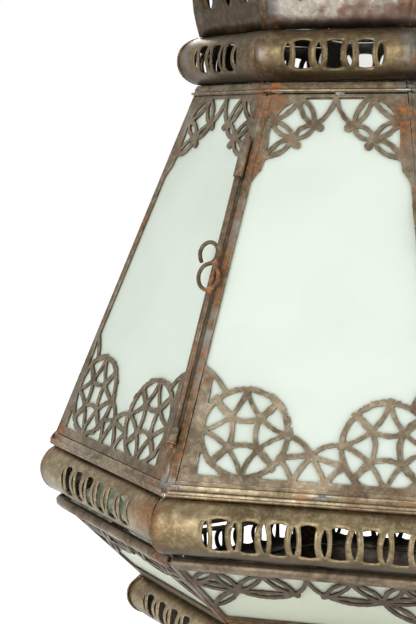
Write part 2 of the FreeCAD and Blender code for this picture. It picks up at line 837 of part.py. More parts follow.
# Main frame and its fixed sides
fixed_sides = range(1, SIDES)
sheet_margin = post_leg + seam_gap
sheet_low = rail_width + seam_gap
sheet_high = upper.length - rail_width - seam_gap
pane_margin = post_leg + pane_edge_gap
save("corner_posts", all_round(corner_post(0, sill_radius, frame_height, neck_radius)))
save("top_rail", all_round(rail(upper, upper.length - rail_width, upper.length - rail_head_gap, rail_proud)))
save("sill_rail", all_round(sill_rail()))
fretwork = upper.plate(upper_fretwork(sheet_margin, sheet_low, sheet_high), -fret_sheet, 0)
glass = pane(upper, pane_margin, sheet_low + seat_gap, sheet_high - seat_gap)
clips = pane_clips(upper, rail_width, upper.length - rail_width)
for side in fixed_sides:
    save("fretwork_%d" % side, turned(fretwork, side))
    save("pane_%d" % side, turned(glass, side))
save("pane_clips", Part.makeCompound([turned(clips, side) for side in fixed_sides]))

# Belly
belly_high = belly_rail_low - seam_gap
save("belly_posts", all_round(corner_post(z_belly, belly_foot_radius, z_big_band, belly_radius)))
save("belly_head_rail", all_round(rail(belly, belly_rail_low, belly.length - belly_rail_drop, belly_rail_proud)))
save("belly_foot_rail", all_round(rail(belly, belly_foot_gap, rail_width, 0)))
garland = belly.plate(belly_fretwork(sheet_margin, sheet_low, belly_high), -fret_sheet, 0)
for side in range(SIDES):
    save("belly_fretwork_%d" % side, turned(garland, side))
save("belly_panes", all_round(pane(belly, pane_margin, sheet_low + seat_gap, belly_high - seat_gap)))
save("belly_clips", all_round(pane_clips(belly, rail_width, belly_rail_low)))

# Door
door_margin = post_leg + door_side_gap
door_low = rail_width + door_end_gap
door_high = upper.length - rail_width - door_end_gap
rim_low = door_low + rim_setback
rim_high = door_high - rim_setback
rim_margin = door_margin + rim_setback
rim_front = -fret_sheet - seat_gap
rim_back = rim_front - pane_thickness
save("door_fretwork", upper.plate(upper_fretwork(door_margin, door_low, door_high), -fret_sheet, 0))
rim_hole = upper.outline(rim_margin + rim_width, rim_low + rim_width, rim_high - rim_width)
save("door_rim", upper.plate([upper.outline(rim_margin, rim_low, rim_high), rim_hole], rim_back, rim_front))
save("door_pane", pane(upper, rim_margin + rim_width + seat_gap, rim_low + rim_width + seat_gap,
                       rim_high - rim_width - seat_gap))
door_clip_low = rim_low + clip_width / 2
door_clip_high = rim_high - clip_width / 2
door_clip_spread = door_clip_share * upper.half_high
save("door_clips", Part.makeCompound([door_clip(-door_clip_spread, door_clip_low),
                                      door_clip(door_clip_spread, door_clip_low),
                                      door_clip(0, door_clip_high)]))

# Hinge and latch
hinges = (lower_hinge_at, upper_hinge_at)
bore = pin_radius + running_gap
door_knuckle_at = knuckle_length + knuckle_gap
post_leaves = []
door_leaves = []
for at in hinges:
    post_leaves.append(leaf_tube(hinge_corner, 1, at, knuckle_length, knuckle_radius, bore, leaf_length))
    door_leaves.append(leaf_tube(hinge_corner, -1, at + door_knuckle_at, knuckle_length, knuckle_radius,
                                 bore, leaf_length))
save("hinge_post_leaves", Part.makeCompound(post_leaves))
save("hinge_door_leaves", Part.makeCompound(door_leaves))
save("hinge_pins", Part.makeCompound([hinge_pin(at) for at in hinges]))
sleeve_bore = latch_rod_radius + running_gap
sleeves = []
for at, length in ((lower_sleeve_at, lower_sleeve_length), (upper_sleeve_at, upper_sleeve_length)):
    sleeves.append(leaf_tube(latch_corner, -1, at, length, sleeve_radius, sleeve_bore, sleeve_leaf))
save("latch_sleeves", Part.makeCompound(sleeves))
save("latch_rod", latch_rod())
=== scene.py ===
# %% [markdown]
# A hanging lantern of pierced sheet iron and frosted glass, dressed for its picture.
# The construction comes in as a fixed frame: every piece is already at its real size and place.
# This lesson keeps that frame and gives each piece the shape and finish that a maker's hands leave:
# uneven chisel cuts, rolled edges, solder, rust and worn metal.

# %% Load the frame
import json
import math
import random

import bmesh
import bpy
import numpy as np
from mathutils import Matrix, Vector, noise
from mathutils.geometry import delaunay_2d_cdt


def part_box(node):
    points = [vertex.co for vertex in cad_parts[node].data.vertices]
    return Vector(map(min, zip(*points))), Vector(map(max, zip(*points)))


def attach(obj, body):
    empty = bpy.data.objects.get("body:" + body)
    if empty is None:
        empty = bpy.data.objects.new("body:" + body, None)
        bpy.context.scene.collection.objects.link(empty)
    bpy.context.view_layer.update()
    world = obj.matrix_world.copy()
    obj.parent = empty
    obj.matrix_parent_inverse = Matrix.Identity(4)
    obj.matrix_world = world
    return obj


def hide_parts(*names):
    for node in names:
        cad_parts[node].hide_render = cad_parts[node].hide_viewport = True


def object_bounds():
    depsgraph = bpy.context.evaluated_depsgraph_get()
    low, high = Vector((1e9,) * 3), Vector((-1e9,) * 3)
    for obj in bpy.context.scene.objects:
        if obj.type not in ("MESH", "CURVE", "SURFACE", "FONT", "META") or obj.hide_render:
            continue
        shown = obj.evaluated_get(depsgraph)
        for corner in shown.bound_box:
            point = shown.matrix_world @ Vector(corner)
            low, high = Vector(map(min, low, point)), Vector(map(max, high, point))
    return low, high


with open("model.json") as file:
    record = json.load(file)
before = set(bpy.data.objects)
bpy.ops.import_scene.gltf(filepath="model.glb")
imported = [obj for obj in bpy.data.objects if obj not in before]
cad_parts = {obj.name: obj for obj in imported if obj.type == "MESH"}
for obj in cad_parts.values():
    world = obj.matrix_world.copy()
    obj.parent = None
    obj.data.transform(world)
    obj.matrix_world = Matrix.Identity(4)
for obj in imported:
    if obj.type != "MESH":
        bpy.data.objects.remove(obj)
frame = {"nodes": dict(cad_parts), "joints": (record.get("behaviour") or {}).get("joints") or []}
cad_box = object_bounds()
MM = 0.001
print("frame with", len(frame["nodes"]), "pieces")

# %% [markdown]
# The lantern has eight like sides, so almost every piece is drawn once, on the side that faces
# the viewer, and then turned round the upright axis. Two directions describe a side: outward,
# away from the axis, and rightward, along it.

# %% Directions round the lantern
SIDES = 8
HALF_TURN = math.pi / SIDES
UP = Vector((0, 0, 1))


def outward(angle):
    return Vector((math.sin(angle), -math.cos(angle), 0))


def rightward(angle):
    return Vector((math.cos(angle), math.sin(angle), 0))


def side_turn(side):
    return Matrix.Rotation(side * 2 * HALF_TURN, 4, "Z")


def node_points(name):
    """All corner points of a piece of the frame, as rows of x, y and z."""
    vertices = frame["nodes"][name].data.vertices
    points = np.empty(len(vertices) * 3)
    vertices.foreach_get("co", points)
    return points.reshape(-1, 3)


# %% [markdown]
# A sloping side is easier to draw flat. A Facet is the drawing plane of one storey: u runs right,
# v runs up the slope and w points out, all in millimetres. Its corners are read from the posts of
# the frame, so a drawing always fits the construction.

# %% Drawing planes
LEVEL_TOLERANCE = 0.02 * MM


def corner_line(posts):
    """Height and radius of the posts' outer edge, at its foot and at its head."""
    points = node_points(posts)
    radius = np.hypot(points[:, 0], points[:, 1])
    ends = []
    for z in (points[:, 2].min(), points[:, 2].max()):
        level = np.abs(points[:, 2] - z) < LEVEL_TOLERANCE
        ends.append((float(z), float(radius[level].max())))
    return ends


class Facet:
    """The drawing plane of one storey, with a matrix that takes millimetres to its place."""

    def __init__(self, posts):
        (z_low, r_low), (z_high, r_high) = corner_line(posts)
        low = outward(0) * (r_low * math.cos(HALF_TURN)) + UP * z_low
        high = outward(0) * (r_high * math.cos(HALF_TURN)) + UP * z_high
        x = rightward(0)
        y = (high - low).normalized()
        z = x.cross(y)
        plane = Matrix((x, y, z)).transposed().to_4x4()
        self.front = Matrix.Translation(low) @ plane @ Matrix.Scale(MM, 4)
        self.length = (high - low).length / MM
        self.half_low = r_low * math.sin(HALF_TURN) / MM
        self.half_high = r_high * math.sin(HALF_TURN) / MM

    def matrix(self, side):
        return side_turn(side) @ self.front

    def half(self, v):
        return self.half_low + (self.half_high - self.half_low) * v / self.length

    def sheet_corners(self, node, side):
        """Corners of a sheet of the frame in this plane, from low left round to high left."""
        back = self.matrix(side).inverted()
        flat = [back @ Vector(point) for point in node_points(node)]
        low = min(point.y for point in flat)
        high = max(point.y for point in flat)
        near = LEVEL_TOLERANCE / MM
        half_low = max(point.x for point in flat if point.y < low + near)
        half_high = max(point.x for point in flat if point.y > high - near)
        return np.array([(-half_low, low), (half_low, low), (half_high, high), (-half_high, high)])


main_storey = Facet("corner_posts")
belly_storey = Facet("belly_posts")
print("main side", round(main_storey.length), "mm long,", round(2 * main_storey.half_low), "mm wide")

# %% [markdown]
# Every finish here is old metal or glass, so they share a few effects. Each effect is a shader
# node group: it is built once, with named inputs, and placed in each material with its own values.
# A small helper adds a node and feeds its inputs, so a group reads like a recipe.

# %% Helpers for shader nodes


class Recipe:
    """Adds nodes to a tree. Any value may be a number, a colour or the socket of another node."""

    def __init__(self, tree):
        self.tree = tree

    def feed(self, socket, value):
        if isinstance(value, bpy.types.NodeSocket):
            self.tree.links.new(value, socket)
        else:
            socket.default_value = value

    def place(self, kind, feeds=(), **settings):
        """Add a node, set its options and feed its inputs, which are named or numbered."""
        node = self.tree.nodes.new("ShaderNode" + kind)
        for name, value in settings.items():
            setattr(node, name, value)
        for key, value in dict(feeds).items():
            self.feed(node.inputs[key], value)
        return node

    def maths(self, operation, first, second=0.0, clamp=False):
        return self.place("Math", {0: first, 1: second}, operation=operation, use_clamp=clamp).outputs[0]

    def plus(self, first, second, clamp=False):
        return self.maths("ADD", first, second, clamp)

    def minus(self, first, second, clamp=False):
        return self.maths("SUBTRACT", first, second, clamp)

    def times(self, first, second, clamp=False):
        return self.maths("MULTIPLY", first, second, clamp)

    def mix(self, share, first, second):
        """A colour between first and second."""
        return self.place("Mix", {0: share, 6: first, 7: second}, data_type="RGBA").outputs[2]

    def between(self, value, low, high, low_to=0.0, high_to=1.0):
        """A value stretched from one range to another and held inside it."""
        feeds = {"Value": value, "From Min": low, "From Max": high, "To Min": low_to, "To Max": high_to}
        return self.place("MapRange", feeds, clamp=True).outputs["Result"]

    def place_in(self):
        return self.place("TexCoord").outputs["Object"]

    def noise(self, scale, detail, **more):
        feeds = {"Vector": self.place_in(), "Scale": scale, "Detail": detail, **more}
        return self.place("TexNoise", feeds).outputs["Fac"]

    def vector(self, operation, result, *vectors):
        return self.place("VectorMath", dict(enumerate(vectors)), operation=operation).outputs[result]

    def effect(self, group, **feeds):
        """A node group in this tree. Gaps in the names of its inputs are written as underscores."""
        node = self.place("Group", node_tree=group)
        for name, value in feeds.items():
            self.feed(node.inputs[name.replace("_", " ")], value)
        return node.outputs

    def bump(self, height, strength, distance):
        feeds = {"Height": height, "Strength": strength, "Distance": distance}
        return self.place("Bump", feeds).outputs["Normal"]


def tint(red, green, blue):
    """A colour named by its screen values, as a shader wants it."""
    linear = []
    for value in (red, green, blue):
        share = value / 255
        linear.append(share / 12.92 if share <= 0.04045 else ((share + 0.055) / 1.055) ** 2.4)
    return (*linear, 1.0)


def new_group(name, inputs, outputs, draw):
    """A node group. The drawing function gets a recipe and the inputs, and returns every output."""
    group = bpy.data.node_groups.new(name, "ShaderNodeTree")
    for socket_name, value in inputs.items():
        kind = "NodeSocketFloat" if isinstance(value, float) else "NodeSocketColor"
        group.interface.new_socket(socket_name, in_out="INPUT", socket_type=kind).default_value = value
    for socket_name in outputs:
        kind = "NodeSocketColor" if socket_name == "Colour" else "NodeSocketFloat"
        group.interface.new_socket(socket_name, in_out="OUTPUT", socket_type=kind)
    given = group.nodes.new("NodeGroupInput").outputs
    result = group.nodes.new("NodeGroupOutput").inputs
    for socket_name, value in zip(outputs, draw(Recipe(group), given)):
        group.links.new(value, result[socket_name])
    return group


def new_material(name):
    """A material, a recipe for its nodes and the inputs of its Principled shader."""
    material = bpy.data.materials.new(name)
    material.use_nodes = True
    return material, Recipe(material.node_tree), material.node_tree.nodes["Principled BSDF"].inputs


# %% [markdown]
# Old iron is never one colour. Large clouds of brown and grey show where hands and weather reached
# it, and fine specks sit on top. The patina group mixes three colours with noise in two sizes, and
# also puts out a height for the small unevenness of hand-beaten sheet.

# %% Patina group


def draw_patina(make, given):
    cloud = make.noise(given["Cloud size"], 6.0, Roughness=0.62, Distortion=0.4)
    mottle = make.noise(290.0, 8.0, Roughness=0.72)
    speck = make.noise(1700.0, 2.0)
    dents = make.noise(130.0, 2.0)
    body = make.mix(make.between(cloud, 0.36, 0.62), given["Dark"], given["Middle"])
    body = make.mix(make.between(mottle, 0.46, 0.72, 0.0, 0.7), body, given["Pale"])
    body = make.mix(make.between(mottle, 0.30, 0.44, 0.4, 0.0), body, given["Dark"])
    specks = make.times(make.between(speck, 0.50, 0.72), given["Speck"])
    relief = make.plus(dents, make.times(mottle, 0.35))
    return make.mix(specks, body, given["Dark"]), cloud, relief


PATINA = new_group("patina", {"Dark": tint(70, 60, 50), "Middle": tint(105, 92, 78),
                              "Pale": tint(150, 138, 124), "Cloud size": 60.0, "Speck": 0.5},
                   ("Colour", "Cloud", "Height"), draw_patina)

# %% [markdown]
# Rust settles in patches and creeps out from joints. Its group gives a mask from broad noise, made
# stronger near a corner and where surfaces meet closely, which an Ambient Occlusion node can feel,
# and a ragged orange colour between dark brown and bright ochre. A few spots where water stood have
# rusted most. They are named by side, by distance from its left or right corner, and by height.

# %% Rust group
LEFT, RIGHT = -1, 1
RUST_SPOTS = (
    (7, RIGHT, 12.0, 5.0, 14.0),
    (7, RIGHT, 4.0, 22.0, 13.0),
    (7, LEFT, 7.0, 3.0, 19.0),
    (7, RIGHT, 5.0, 188.0, 13.0),
    (0, LEFT, 4.0, 184.0, 12.0),
    (0, RIGHT, 2.0, 172.0, 15.0),
    (0, LEFT, 58.0, 4.0, 12.0),
    (0, LEFT, 82.0, 4.5, 13.0),
    (0, LEFT, 100.0, 4.0, 12.0),
    (0, LEFT, 4.0, 152.0, 11.0),
    (0, LEFT, 3.0, 96.0, 16.0),
)
BAND_RUST = 34.0
BAND_RUST_TURN = -0.11


def rust_spots():
    """Places in metres, each with its reach."""
    spots = []
    for side, corner, inset, v, reach in RUST_SPOTS:
        u = corner * (main_storey.half(v) - inset)
        spots.append((main_storey.matrix(side) @ Vector((u, v, 0)), reach * MM))
    low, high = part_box("big_band")
    on_band = outward(BAND_RUST_TURN - HALF_TURN) * high[0] + UP * (low[2] + high[2]) / 2
    return spots + [(on_band, BAND_RUST * MM)]


def draw_rust(make, given):
    patch = make.noise(given["Patch size"], 8.0, Roughness=0.74, Distortion=0.8)
    grain = make.noise(520.0, 5.0)
    open_sky = make.place("AmbientOcclusion", {"Distance": given["Reach"]}, samples=6).outputs["AO"]
    crevice = make.between(open_sky, 0.25, 0.85, 1.0, 0.0)
    wet = 0.0
    for spot, reach in rust_spots():
        apart = make.vector("DISTANCE", "Value", make.place_in(), spot)
        wet = make.maths("MAXIMUM", wet, make.between(apart, 0.2 * reach, reach, 1.0, 0.0))
    level = patch
    for cause, weight in ((crevice, 0.11), (given["Joint"], 0.13), (wet, 0.19), (given["Amount"], 0.24)):
        level = make.plus(level, make.times(cause, weight))
    mask = make.times(make.between(level, 0.70, 0.86), make.between(grain, 0.36, 0.60, 0.15, 1.0))
    colour = make.mix(make.between(grain, 0.42, 0.68), tint(90, 60, 37), tint(164, 104, 48))
    return colour, mask, crevice


RUST = new_group("rust", {"Amount": 0.4, "Patch size": 48.0, "Reach": 0.004, "Joint": 0.0},
                 ("Colour", "Mask", "Crevice"), draw_rust)

# %% [markdown]
# Edges that hands and rubbing reach lose their brown skin and shine. The bright colour given to them is
# partly that wear and partly a painted highlight, where edges catch the light. A Bevel node returns the
# normal that a rounded edge would have: where it differs from the true normal, an edge is near.

# %% Worn edge group


def draw_worn_edges(make, given):
    rounded = make.place("Bevel", {"Radius": given["Width"]}, samples=6).outputs["Normal"]
    true_normal = make.place("NewGeometry").outputs["Normal"]
    edge = make.between(make.vector("DOT_PRODUCT", "Value", rounded, true_normal), 0.80, 0.985, 1.0, 0.0)
    edge = make.times(edge, make.between(make.noise(260.0, 4.0), 0.40, 0.62))
    return [make.times(edge, given["Amount"], clamp=True)]


WORN_EDGE_AND_HIGHLIGHT = new_group("worn edges and highlights", {"Width": 0.0006, "Amount": 0.6}, ["Mask"], draw_worn_edges)

# %% [markdown]
# The lengths and sheets are soldered where sides meet, and the solder and the flux leave grey smears
# and rust beside every corner. The corner group measures how near a point is to one of the eight
# corner planes, by folding the angle round the upright axis into one side.

# %% Corner group


def draw_corner(make, given):
    parts = make.place("SeparateXYZ", {"Vector": make.place_in()}).outputs
    angle = make.maths("ARCTAN2", parts["X"], make.times(parts["Y"], -1.0))
    turn = make.maths("FRACT", make.plus(make.maths("DIVIDE", angle, 2 * HALF_TURN), SIDES + 0.5))
    from_middle = make.maths("ABSOLUTE", make.minus(turn, 0.5))
    level_place = make.place("CombineXYZ", {"X": parts["X"], "Y": parts["Y"]}).outputs[0]
    radius = make.vector("LENGTH", "Value", level_place)
    distance = make.times(make.times(make.minus(0.5, from_middle), 2 * HALF_TURN), radius)
    ragged = make.between(make.noise(90.0, 5.0), 0.3, 0.7, 0.5, 2.2)
    near = make.maths("DIVIDE", make.times(distance, ragged), given["Reach"])
    return [make.between(near, 0.4, 1.0, 1.0, 0.0)]


CORNER = new_group("corner", {"Reach": 0.012}, ["Mask"], draw_corner)

# %% [markdown]
# Water runs down a dome and stands at its foot, so the tin is stained red-brown there in tongues of
# uneven height. The stain group measures the height above a level and frays it with noise.

# %% Stain group


def draw_stain(make, given):
    height = make.place("SeparateXYZ", {"Vector": make.place_in()}).outputs["Z"]
    share = make.maths("DIVIDE", make.minus(height, given["Foot"]), given["Reach"])
    level = make.minus(make.noise(46.0, 7.0, Roughness=0.68), make.times(share, 0.45))
    washed = make.between(make.noise(150.0, 6.0), 0.36, 0.56, 0.45, 1.0)
    return [make.times(make.between(level, 0.24, 0.33), washed)]


STAIN = new_group("stain", {"Foot": 0.0, "Reach": 0.016}, ["Mask"], draw_stain)
print("effects:", ", ".join(group.name for group in bpy.data.node_groups))

# %% [markdown]
# One function turns these effects into a metal. The Principled shader stays in the material itself,
# and what differs between finishes is given by name: the patina colours from dark to the bright of a
# worn edge, which is partly a painted highlight, how much rust there is, and how much solder lies at the
# corners. Crevices turn darker, partly dirt and partly painted shade, and undersides may get painted shade.

# %% Old metals
SOLDER_GREY = tint(118, 122, 122)
STAIN_BROWN = tint(92, 72, 60)
GRIME_AND_CREVICE_SHADE = tint(36, 28, 21)
UNDERSIDE_SHADE = tint(56, 42, 27)


def old_metal(name, *colours, rust=0.4, wear=0.6, solder=0.5, cloud=60.0, edge=0.0006, metallic=0.7,
              smooth=0.36, rough=0.62, underside_shade=0.0, stain_from=None):
    material, make, shader = new_material(name)
    dark, middle, pale, worn_bright_and_highlight = (tint(*colour) for colour in colours)
    skin = make.effect(PATINA, Dark=dark, Middle=middle, Pale=pale, Cloud_size=cloud)
    joint = make.effect(CORNER)["Mask"]
    oxide = make.effect(RUST, Amount=rust, Joint=joint)
    worn_and_highlight = make.effect(WORN_EDGE_AND_HIGHLIGHT, Width=edge, Amount=wear)["Mask"]
    smear = make.times(make.times(joint, solder), make.between(skin["Cloud"], 0.46, 0.58))
    colour = make.mix(smear, skin["Colour"], SOLDER_GREY)
    if stain_from is not None:
        colour = make.mix(make.effect(STAIN, Foot=stain_from)["Mask"], colour, STAIN_BROWN)
    colour = make.mix(oxide["Mask"], colour, oxide["Colour"])
    # Crevices turn darker where ambient occlusion finds them: partly dirt, partly painted shade.
    colour = make.mix(make.times(oxide["Crevice"], 0.65), colour, GRIME_AND_CREVICE_SHADE)
    # Edges turn bright: partly bare worn metal, partly a painted highlight.
    colour = make.mix(worn_and_highlight, colour, worn_bright_and_highlight)
    # Painted shade: surfaces that face down turn darker.
    normal = make.place("TexCoord").outputs["Normal"]
    upward = make.place("SeparateXYZ", {"Vector": normal}).outputs["Z"]
    colour = make.mix(make.between(upward, -0.75, -0.2, underside_shade, 0.0), colour, UNDERSIDE_SHADE)
    roughness = make.between(skin["Cloud"], 0.35, 0.65, rough, smooth)
    roughness = make.plus(roughness, make.times(oxide["Mask"], 0.25), clamp=True)
    roughness = make.minus(roughness, make.times(worn_and_highlight, 0.12), clamp=True)
    make.feed(shader["Base Color"], colour)
    make.feed(shader["Metallic"], make.times(make.minus(1.0, make.times(oxide["Mask"], 0.8)), metallic))
    make.feed(shader["Roughness"], roughness)
    make.feed(shader["Normal"], make.bump(skin["Height"], 0.55, 0.00025))
    return material


FRAME_IRON = old_metal("frame iron", (76, 61, 42), (114, 97, 69), (158, 141, 106), (206, 190, 158),
                       rust=0.46, wear=0.8, solder=0.6)
RAIL_IRON = old_metal("rail iron", (89, 75, 54), (134, 119, 92), (182, 169, 140), (242, 235, 218),
                      rust=0.46, wear=1.0, solder=0.6, edge=0.0012, metallic=0.85, smooth=0.20, rough=0.44)
LATCH_IRON = old_metal("latch iron", (70, 56, 43), (104, 87, 69), (150, 132, 108), (206, 192, 166),
                       rust=0.34, wear=0.7, solder=0.0, metallic=0.8, smooth=0.24, rough=0.44)
SLEEVE_IRON = old_metal("sleeve iron", (84, 72, 57), (128, 115, 96), (178, 168, 148), (232, 226, 212),
                        rust=0.30, wear=1.0, solder=0.7, metallic=0.85, smooth=0.20, rough=0.40)
FRET_IRON = old_metal("fretwork iron", (84, 71, 54), (118, 104, 83), (160, 149, 126), (204, 192, 166),
                      rust=0.40, wear=0.8, solder=0.3, edge=0.0007)
DARK_FRAME = old_metal("dark frame iron", (76, 63, 48), (118, 102, 81), (152, 138, 114), (196, 182, 156),
                       rust=0.42, wear=0.7, solder=0.6)
# A darker copy of the fretwork iron for the belly's garlands: painted shade, as the belly stands in shadow.
SHADED_BELLY_IRON = old_metal("belly iron in painted shade", (52, 40, 29), (80, 65, 50), (110, 94, 74), (150, 134, 110),
                       rust=0.36, wear=0.4, solder=0.3, edge=0.0004, metallic=0.5)
BAND_IRON = old_metal("band iron", (99, 84, 59), (144, 128, 97), (184, 170, 137), (240, 230, 206),
                      rust=0.34, wear=0.95, solder=0.7, cloud=30.0, edge=0.0009, metallic=0.9,
                      smooth=0.29, rough=0.45, underside_shade=0.85)
# The top band's iron is a darker copy of band iron: painted shade, as the top band sits overhung in shadow.
SHADED_CROWN_IRON = old_metal("top band iron in painted shade", (71, 57, 37), (106, 90, 63), (144, 130, 101), (202, 189, 162),
                       rust=0.34, wear=0.8, cloud=30.0, edge=0.0008, metallic=0.85, smooth=0.33,
                       rough=0.5, underside_shade=0.85)
TIN = old_metal("tin sheet", (98, 89, 78), (140, 133, 122), (184, 179, 169), (212, 207, 197),
                rust=0.22, wear=0.5, solder=0.7, cloud=26.0, metallic=0.85, smooth=0.28, rough=0.48,
                stain_from=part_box("dome_gores")[0][2])
BROWN_TIN = old_metal("brown tin", (48, 36, 20), (66, 52, 30), (102, 87, 60), (166, 150, 118),
                      rust=0.32, wear=0.5, solder=0.6, cloud=30.0, metallic=0.8, smooth=0.32, rough=0.55)
# A dark finish for the insides of bent sheets, also laid on the door as a painted shadow line.
DARK_INSIDE_AND_SHADOW = old_metal("dark inside and painted shadow", (26, 20, 15), (40, 31, 23), (60, 47, 35), (80, 68, 54),
                 rust=0.30, wear=0.2, solder=0.0, metallic=0.4, smooth=0.5, rough=0.8)
SOLDER = old_metal("solder", (86, 86, 82), (116, 117, 114), (160, 160, 154), (200, 200, 192),
                   rust=0.16, wear=0.4, solder=0.0, cloud=140.0, smooth=0.40, rough=0.6)
print("metals:", ", ".join(material.name for material in bpy.data.materials if material.use_nodes))

# %% [markdown]
# The panes are frosted glass that has gathered dust, and they are darker near the metal: partly dirt,
# partly painted shade. Frosted glass scatters light inside its rough face, so it is a rough, partly
# transmitting Principled surface with a soft cloud of dirt in its colour and its roughness.

# %% Glass
GLASS_IOR = 1.45


def frosted_glass(name, clean, dirt_and_shade_tint, transmission, dirt):
    material, make, shader = new_material(name)
    cloud = make.noise(14.0, 5.0, Roughness=0.55)
    # Darker where metal is near: partly dirt, partly painted shade.
    metal_near_shade = make.place("AmbientOcclusion", {"Distance": 0.012}, samples=8).outputs["AO"]
    edge = make.between(metal_near_shade, 0.35, 0.95, 0.75, 0.0)
    share = make.plus(make.times(make.between(cloud, 0.45, 0.75), dirt), edge, clamp=True)
    make.feed(shader["Base Color"], make.mix(share, tint(*clean), tint(*dirt_and_shade_tint)))
    make.feed(shader["Roughness"], make.between(cloud, 0.3, 0.7, 0.46, 0.60))
    make.feed(shader["Normal"], make.bump(make.noise(1400.0, 2.0), 0.25, 0.00005))
    shader["Transmission Weight"].default_value = transmission
    shader["IOR"].default_value = GLASS_IOR
    return material


PANE_GLASS = frosted_glass("frosted pane", (238, 248, 237), (206, 216, 198), 0.25, 0.35)
BELLY_GLASS = frosted_glass("belly pane", (248, 253, 236), (224, 232, 210), 0.56, 0.5)

# %% [markdown]
# Each new piece is put in the scene, given its finish and tied to the body that it moves with, and the
# pieces of the frame that it stands for are hidden. One function does all three, so nothing is forgotten.

# %% Putting a piece in the scene


def add_piece(name, mesh, material, body, slot, *nodes):
    piece = bpy.data.objects.new(name, mesh)
    bpy.context.scene.collection.objects.link(piece)
    mesh.materials.append(material)
    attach(piece, body)
    if nodes:
        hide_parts(*nodes)
    return piece


def shade(mesh, degrees):
    """Smooth shading, with a crease where faces turn by more than the angle."""
    mesh.polygons.foreach_set("use_smooth", [True] * len(mesh.polygons))
    mesh.set_sharp_from_angle(angle=math.radians(degrees))


def mesh_from(name, bm):
    mesh = bpy.data.meshes.new(name)
    bm.to_mesh(mesh)
    bm.free()
    return mesh


def curve_mesh(name, dimensions, lines, closed=False, **settings):
    """Lines of points, each with a radius, as the mesh of a curve that has these settings."""
    curve = bpy.data.curves.new(name, "CURVE")
    curve.dimensions = dimensions
    for setting, value in settings.items():
        setattr(curve, setting, value)
    for points, radius in lines:
        spline = curve.splines.new("POLY")
        spline.points.add(len(points) - 1)
        for vertex, place_at in zip(spline.points, points):
            vertex.co = (*place_at, 0, 1) if dimensions == "2D" else (*place_at, 1)
            vertex.radius = radius
        spline.use_cyclic_u = closed
    drawing = bpy.data.objects.new(name, curve)
    mesh = bpy.data.meshes.new_from_object(drawing)
    bpy.data.objects.remove(drawing)
    bpy.data.curves.remove(curve)
    return mesh


# %% [markdown]
# Pierced sheet is the heart of this lantern. The maker drew compass arcs on flat iron, drilled
# starting holes and chiselled away everything but the straps. A boolean cut for each hole would give
# machine edges, so the straps are drawn as a distance field instead: a grid of numbers, below zero
# where metal stands. Straps that meet melt together a little, as they do under a file, and the zero
# line of the field is the outline to cut.

# %% A field of straps
GRID = 0.3
MELT = 0.7
CHISEL_CORNER = 0.12
BORDER = 3.0
FAR = 1000.0


class Cutting:
    """The metal left standing in a pierced sheet, as a field of distances in millimetres."""

    def __init__(self, corners, seed):
        low = corners.min(axis=0) - 2 * GRID
        high = corners.max(axis=0) + 3 * GRID
        self.us = np.arange(low[0], high[0], GRID)
        self.vs = np.arange(low[1], high[1], GRID)
        self.field = np.full((len(self.vs), len(self.us)), FAR)
        self.corners = corners
        self.hand = random.Random(seed)

    def window(self, points, reach):
        points = np.asarray(points)
        low = points.min(axis=0) - reach
        high = points.max(axis=0) + reach
        columns = slice(*np.searchsorted(self.us, (low[0], high[0])))
        rows = slice(*np.searchsorted(self.vs, (low[1], high[1])))
        u, v = np.meshgrid(self.us[columns], self.vs[rows])
        return (rows, columns), u, v

    def melt(self, area, distance, soft=MELT):
        old = self.field[area]
        closeness = np.clip(1 - np.abs(old - distance) / soft, 0, None)
        self.field[area] = np.minimum(old, distance) - closeness ** 2 * soft / 4

    def strap(self, points, width, soft=MELT):
        """A strip of metal along a line of points."""
        points = np.asarray(points)
        width = width * self.hand.uniform(0.9, 1.12)
        area, u, v = self.window(points, width + MELT)
        nearest = np.full(u.shape, FAR)
        for start, end in zip(points, points[1:]):
            du, dv = end - start
            along = ((u - start[0]) * du + (v - start[1]) * dv) / (du * du + dv * dv)
            along = np.clip(along, 0, 1)
            nearest = np.minimum(nearest, np.hypot(u - start[0] - along * du, v - start[1] - along * dv))
        self.melt(area, nearest - width / 2, soft)

    def fill(self, corners):
        """A solid patch with straight sides, its corners listed anticlockwise."""
        corners = np.asarray(corners)
        area, u, v = self.window(corners, MELT)
        self.melt(area, straight_sides(corners, u, v))

    def nub(self, centre, radius):
        area, u, v = self.window([centre], radius + MELT)
        self.melt(area, np.hypot(u - centre[0], v - centre[1]) - radius)

    def nick(self, centre, radius):
        """A small bite that a chisel took out of the metal."""
        area, u, v = self.window([centre], radius + MELT)
        self.field[area] = np.maximum(self.field[area], radius - np.hypot(u - centre[0], v - centre[1]))

    def loops(self, roughness):
        """Outlines of the metal, with a slight wander of the chisel, inside the sheet's own edges."""
        u, v = np.meshgrid(self.us, self.vs)
        wander = np.zeros_like(self.field)
        for wave_length in (2.6, 3.7, 5.3, 8.1):
            turn = self.hand.uniform(0, 2 * math.pi)
            phase = self.hand.uniform(0, 2 * math.pi)
            wander += np.sin((u * math.cos(turn) + v * math.sin(turn)) * 2 * math.pi / wave_length + phase)
        outside = straight_sides(self.corners, u, v)
        free = np.clip((-outside - BORDER) / BORDER, 0, 1)
        field = np.maximum(self.field + free * wander * roughness / 2, outside)
        return zero_lines(field, self.us, self.vs)


def straight_sides(corners, u, v):
    """Distance outside a shape with straight sides, listed anticlockwise."""
    outside = np.full(np.shape(u), -FAR)
    for start, end in zip(corners, np.roll(corners, -1, axis=0)):
        du, dv = (end - start) / np.hypot(*(end - start))
        outside = np.maximum(outside, (u - start[0]) * dv - (v - start[1]) * du)
    return outside


# %% [markdown]
# The zero line is found cell by cell. Walking round the four corners of a cell, the line enters
# where the sign changes one way and leaves where it changes back. Linking each leaving point to its
# entering point chains the cells into closed loops, with metal on their left.

# %% Outlines from the field
LEAST_HOLE = 0.8
OUTLINE_TOLERANCE = 0.05


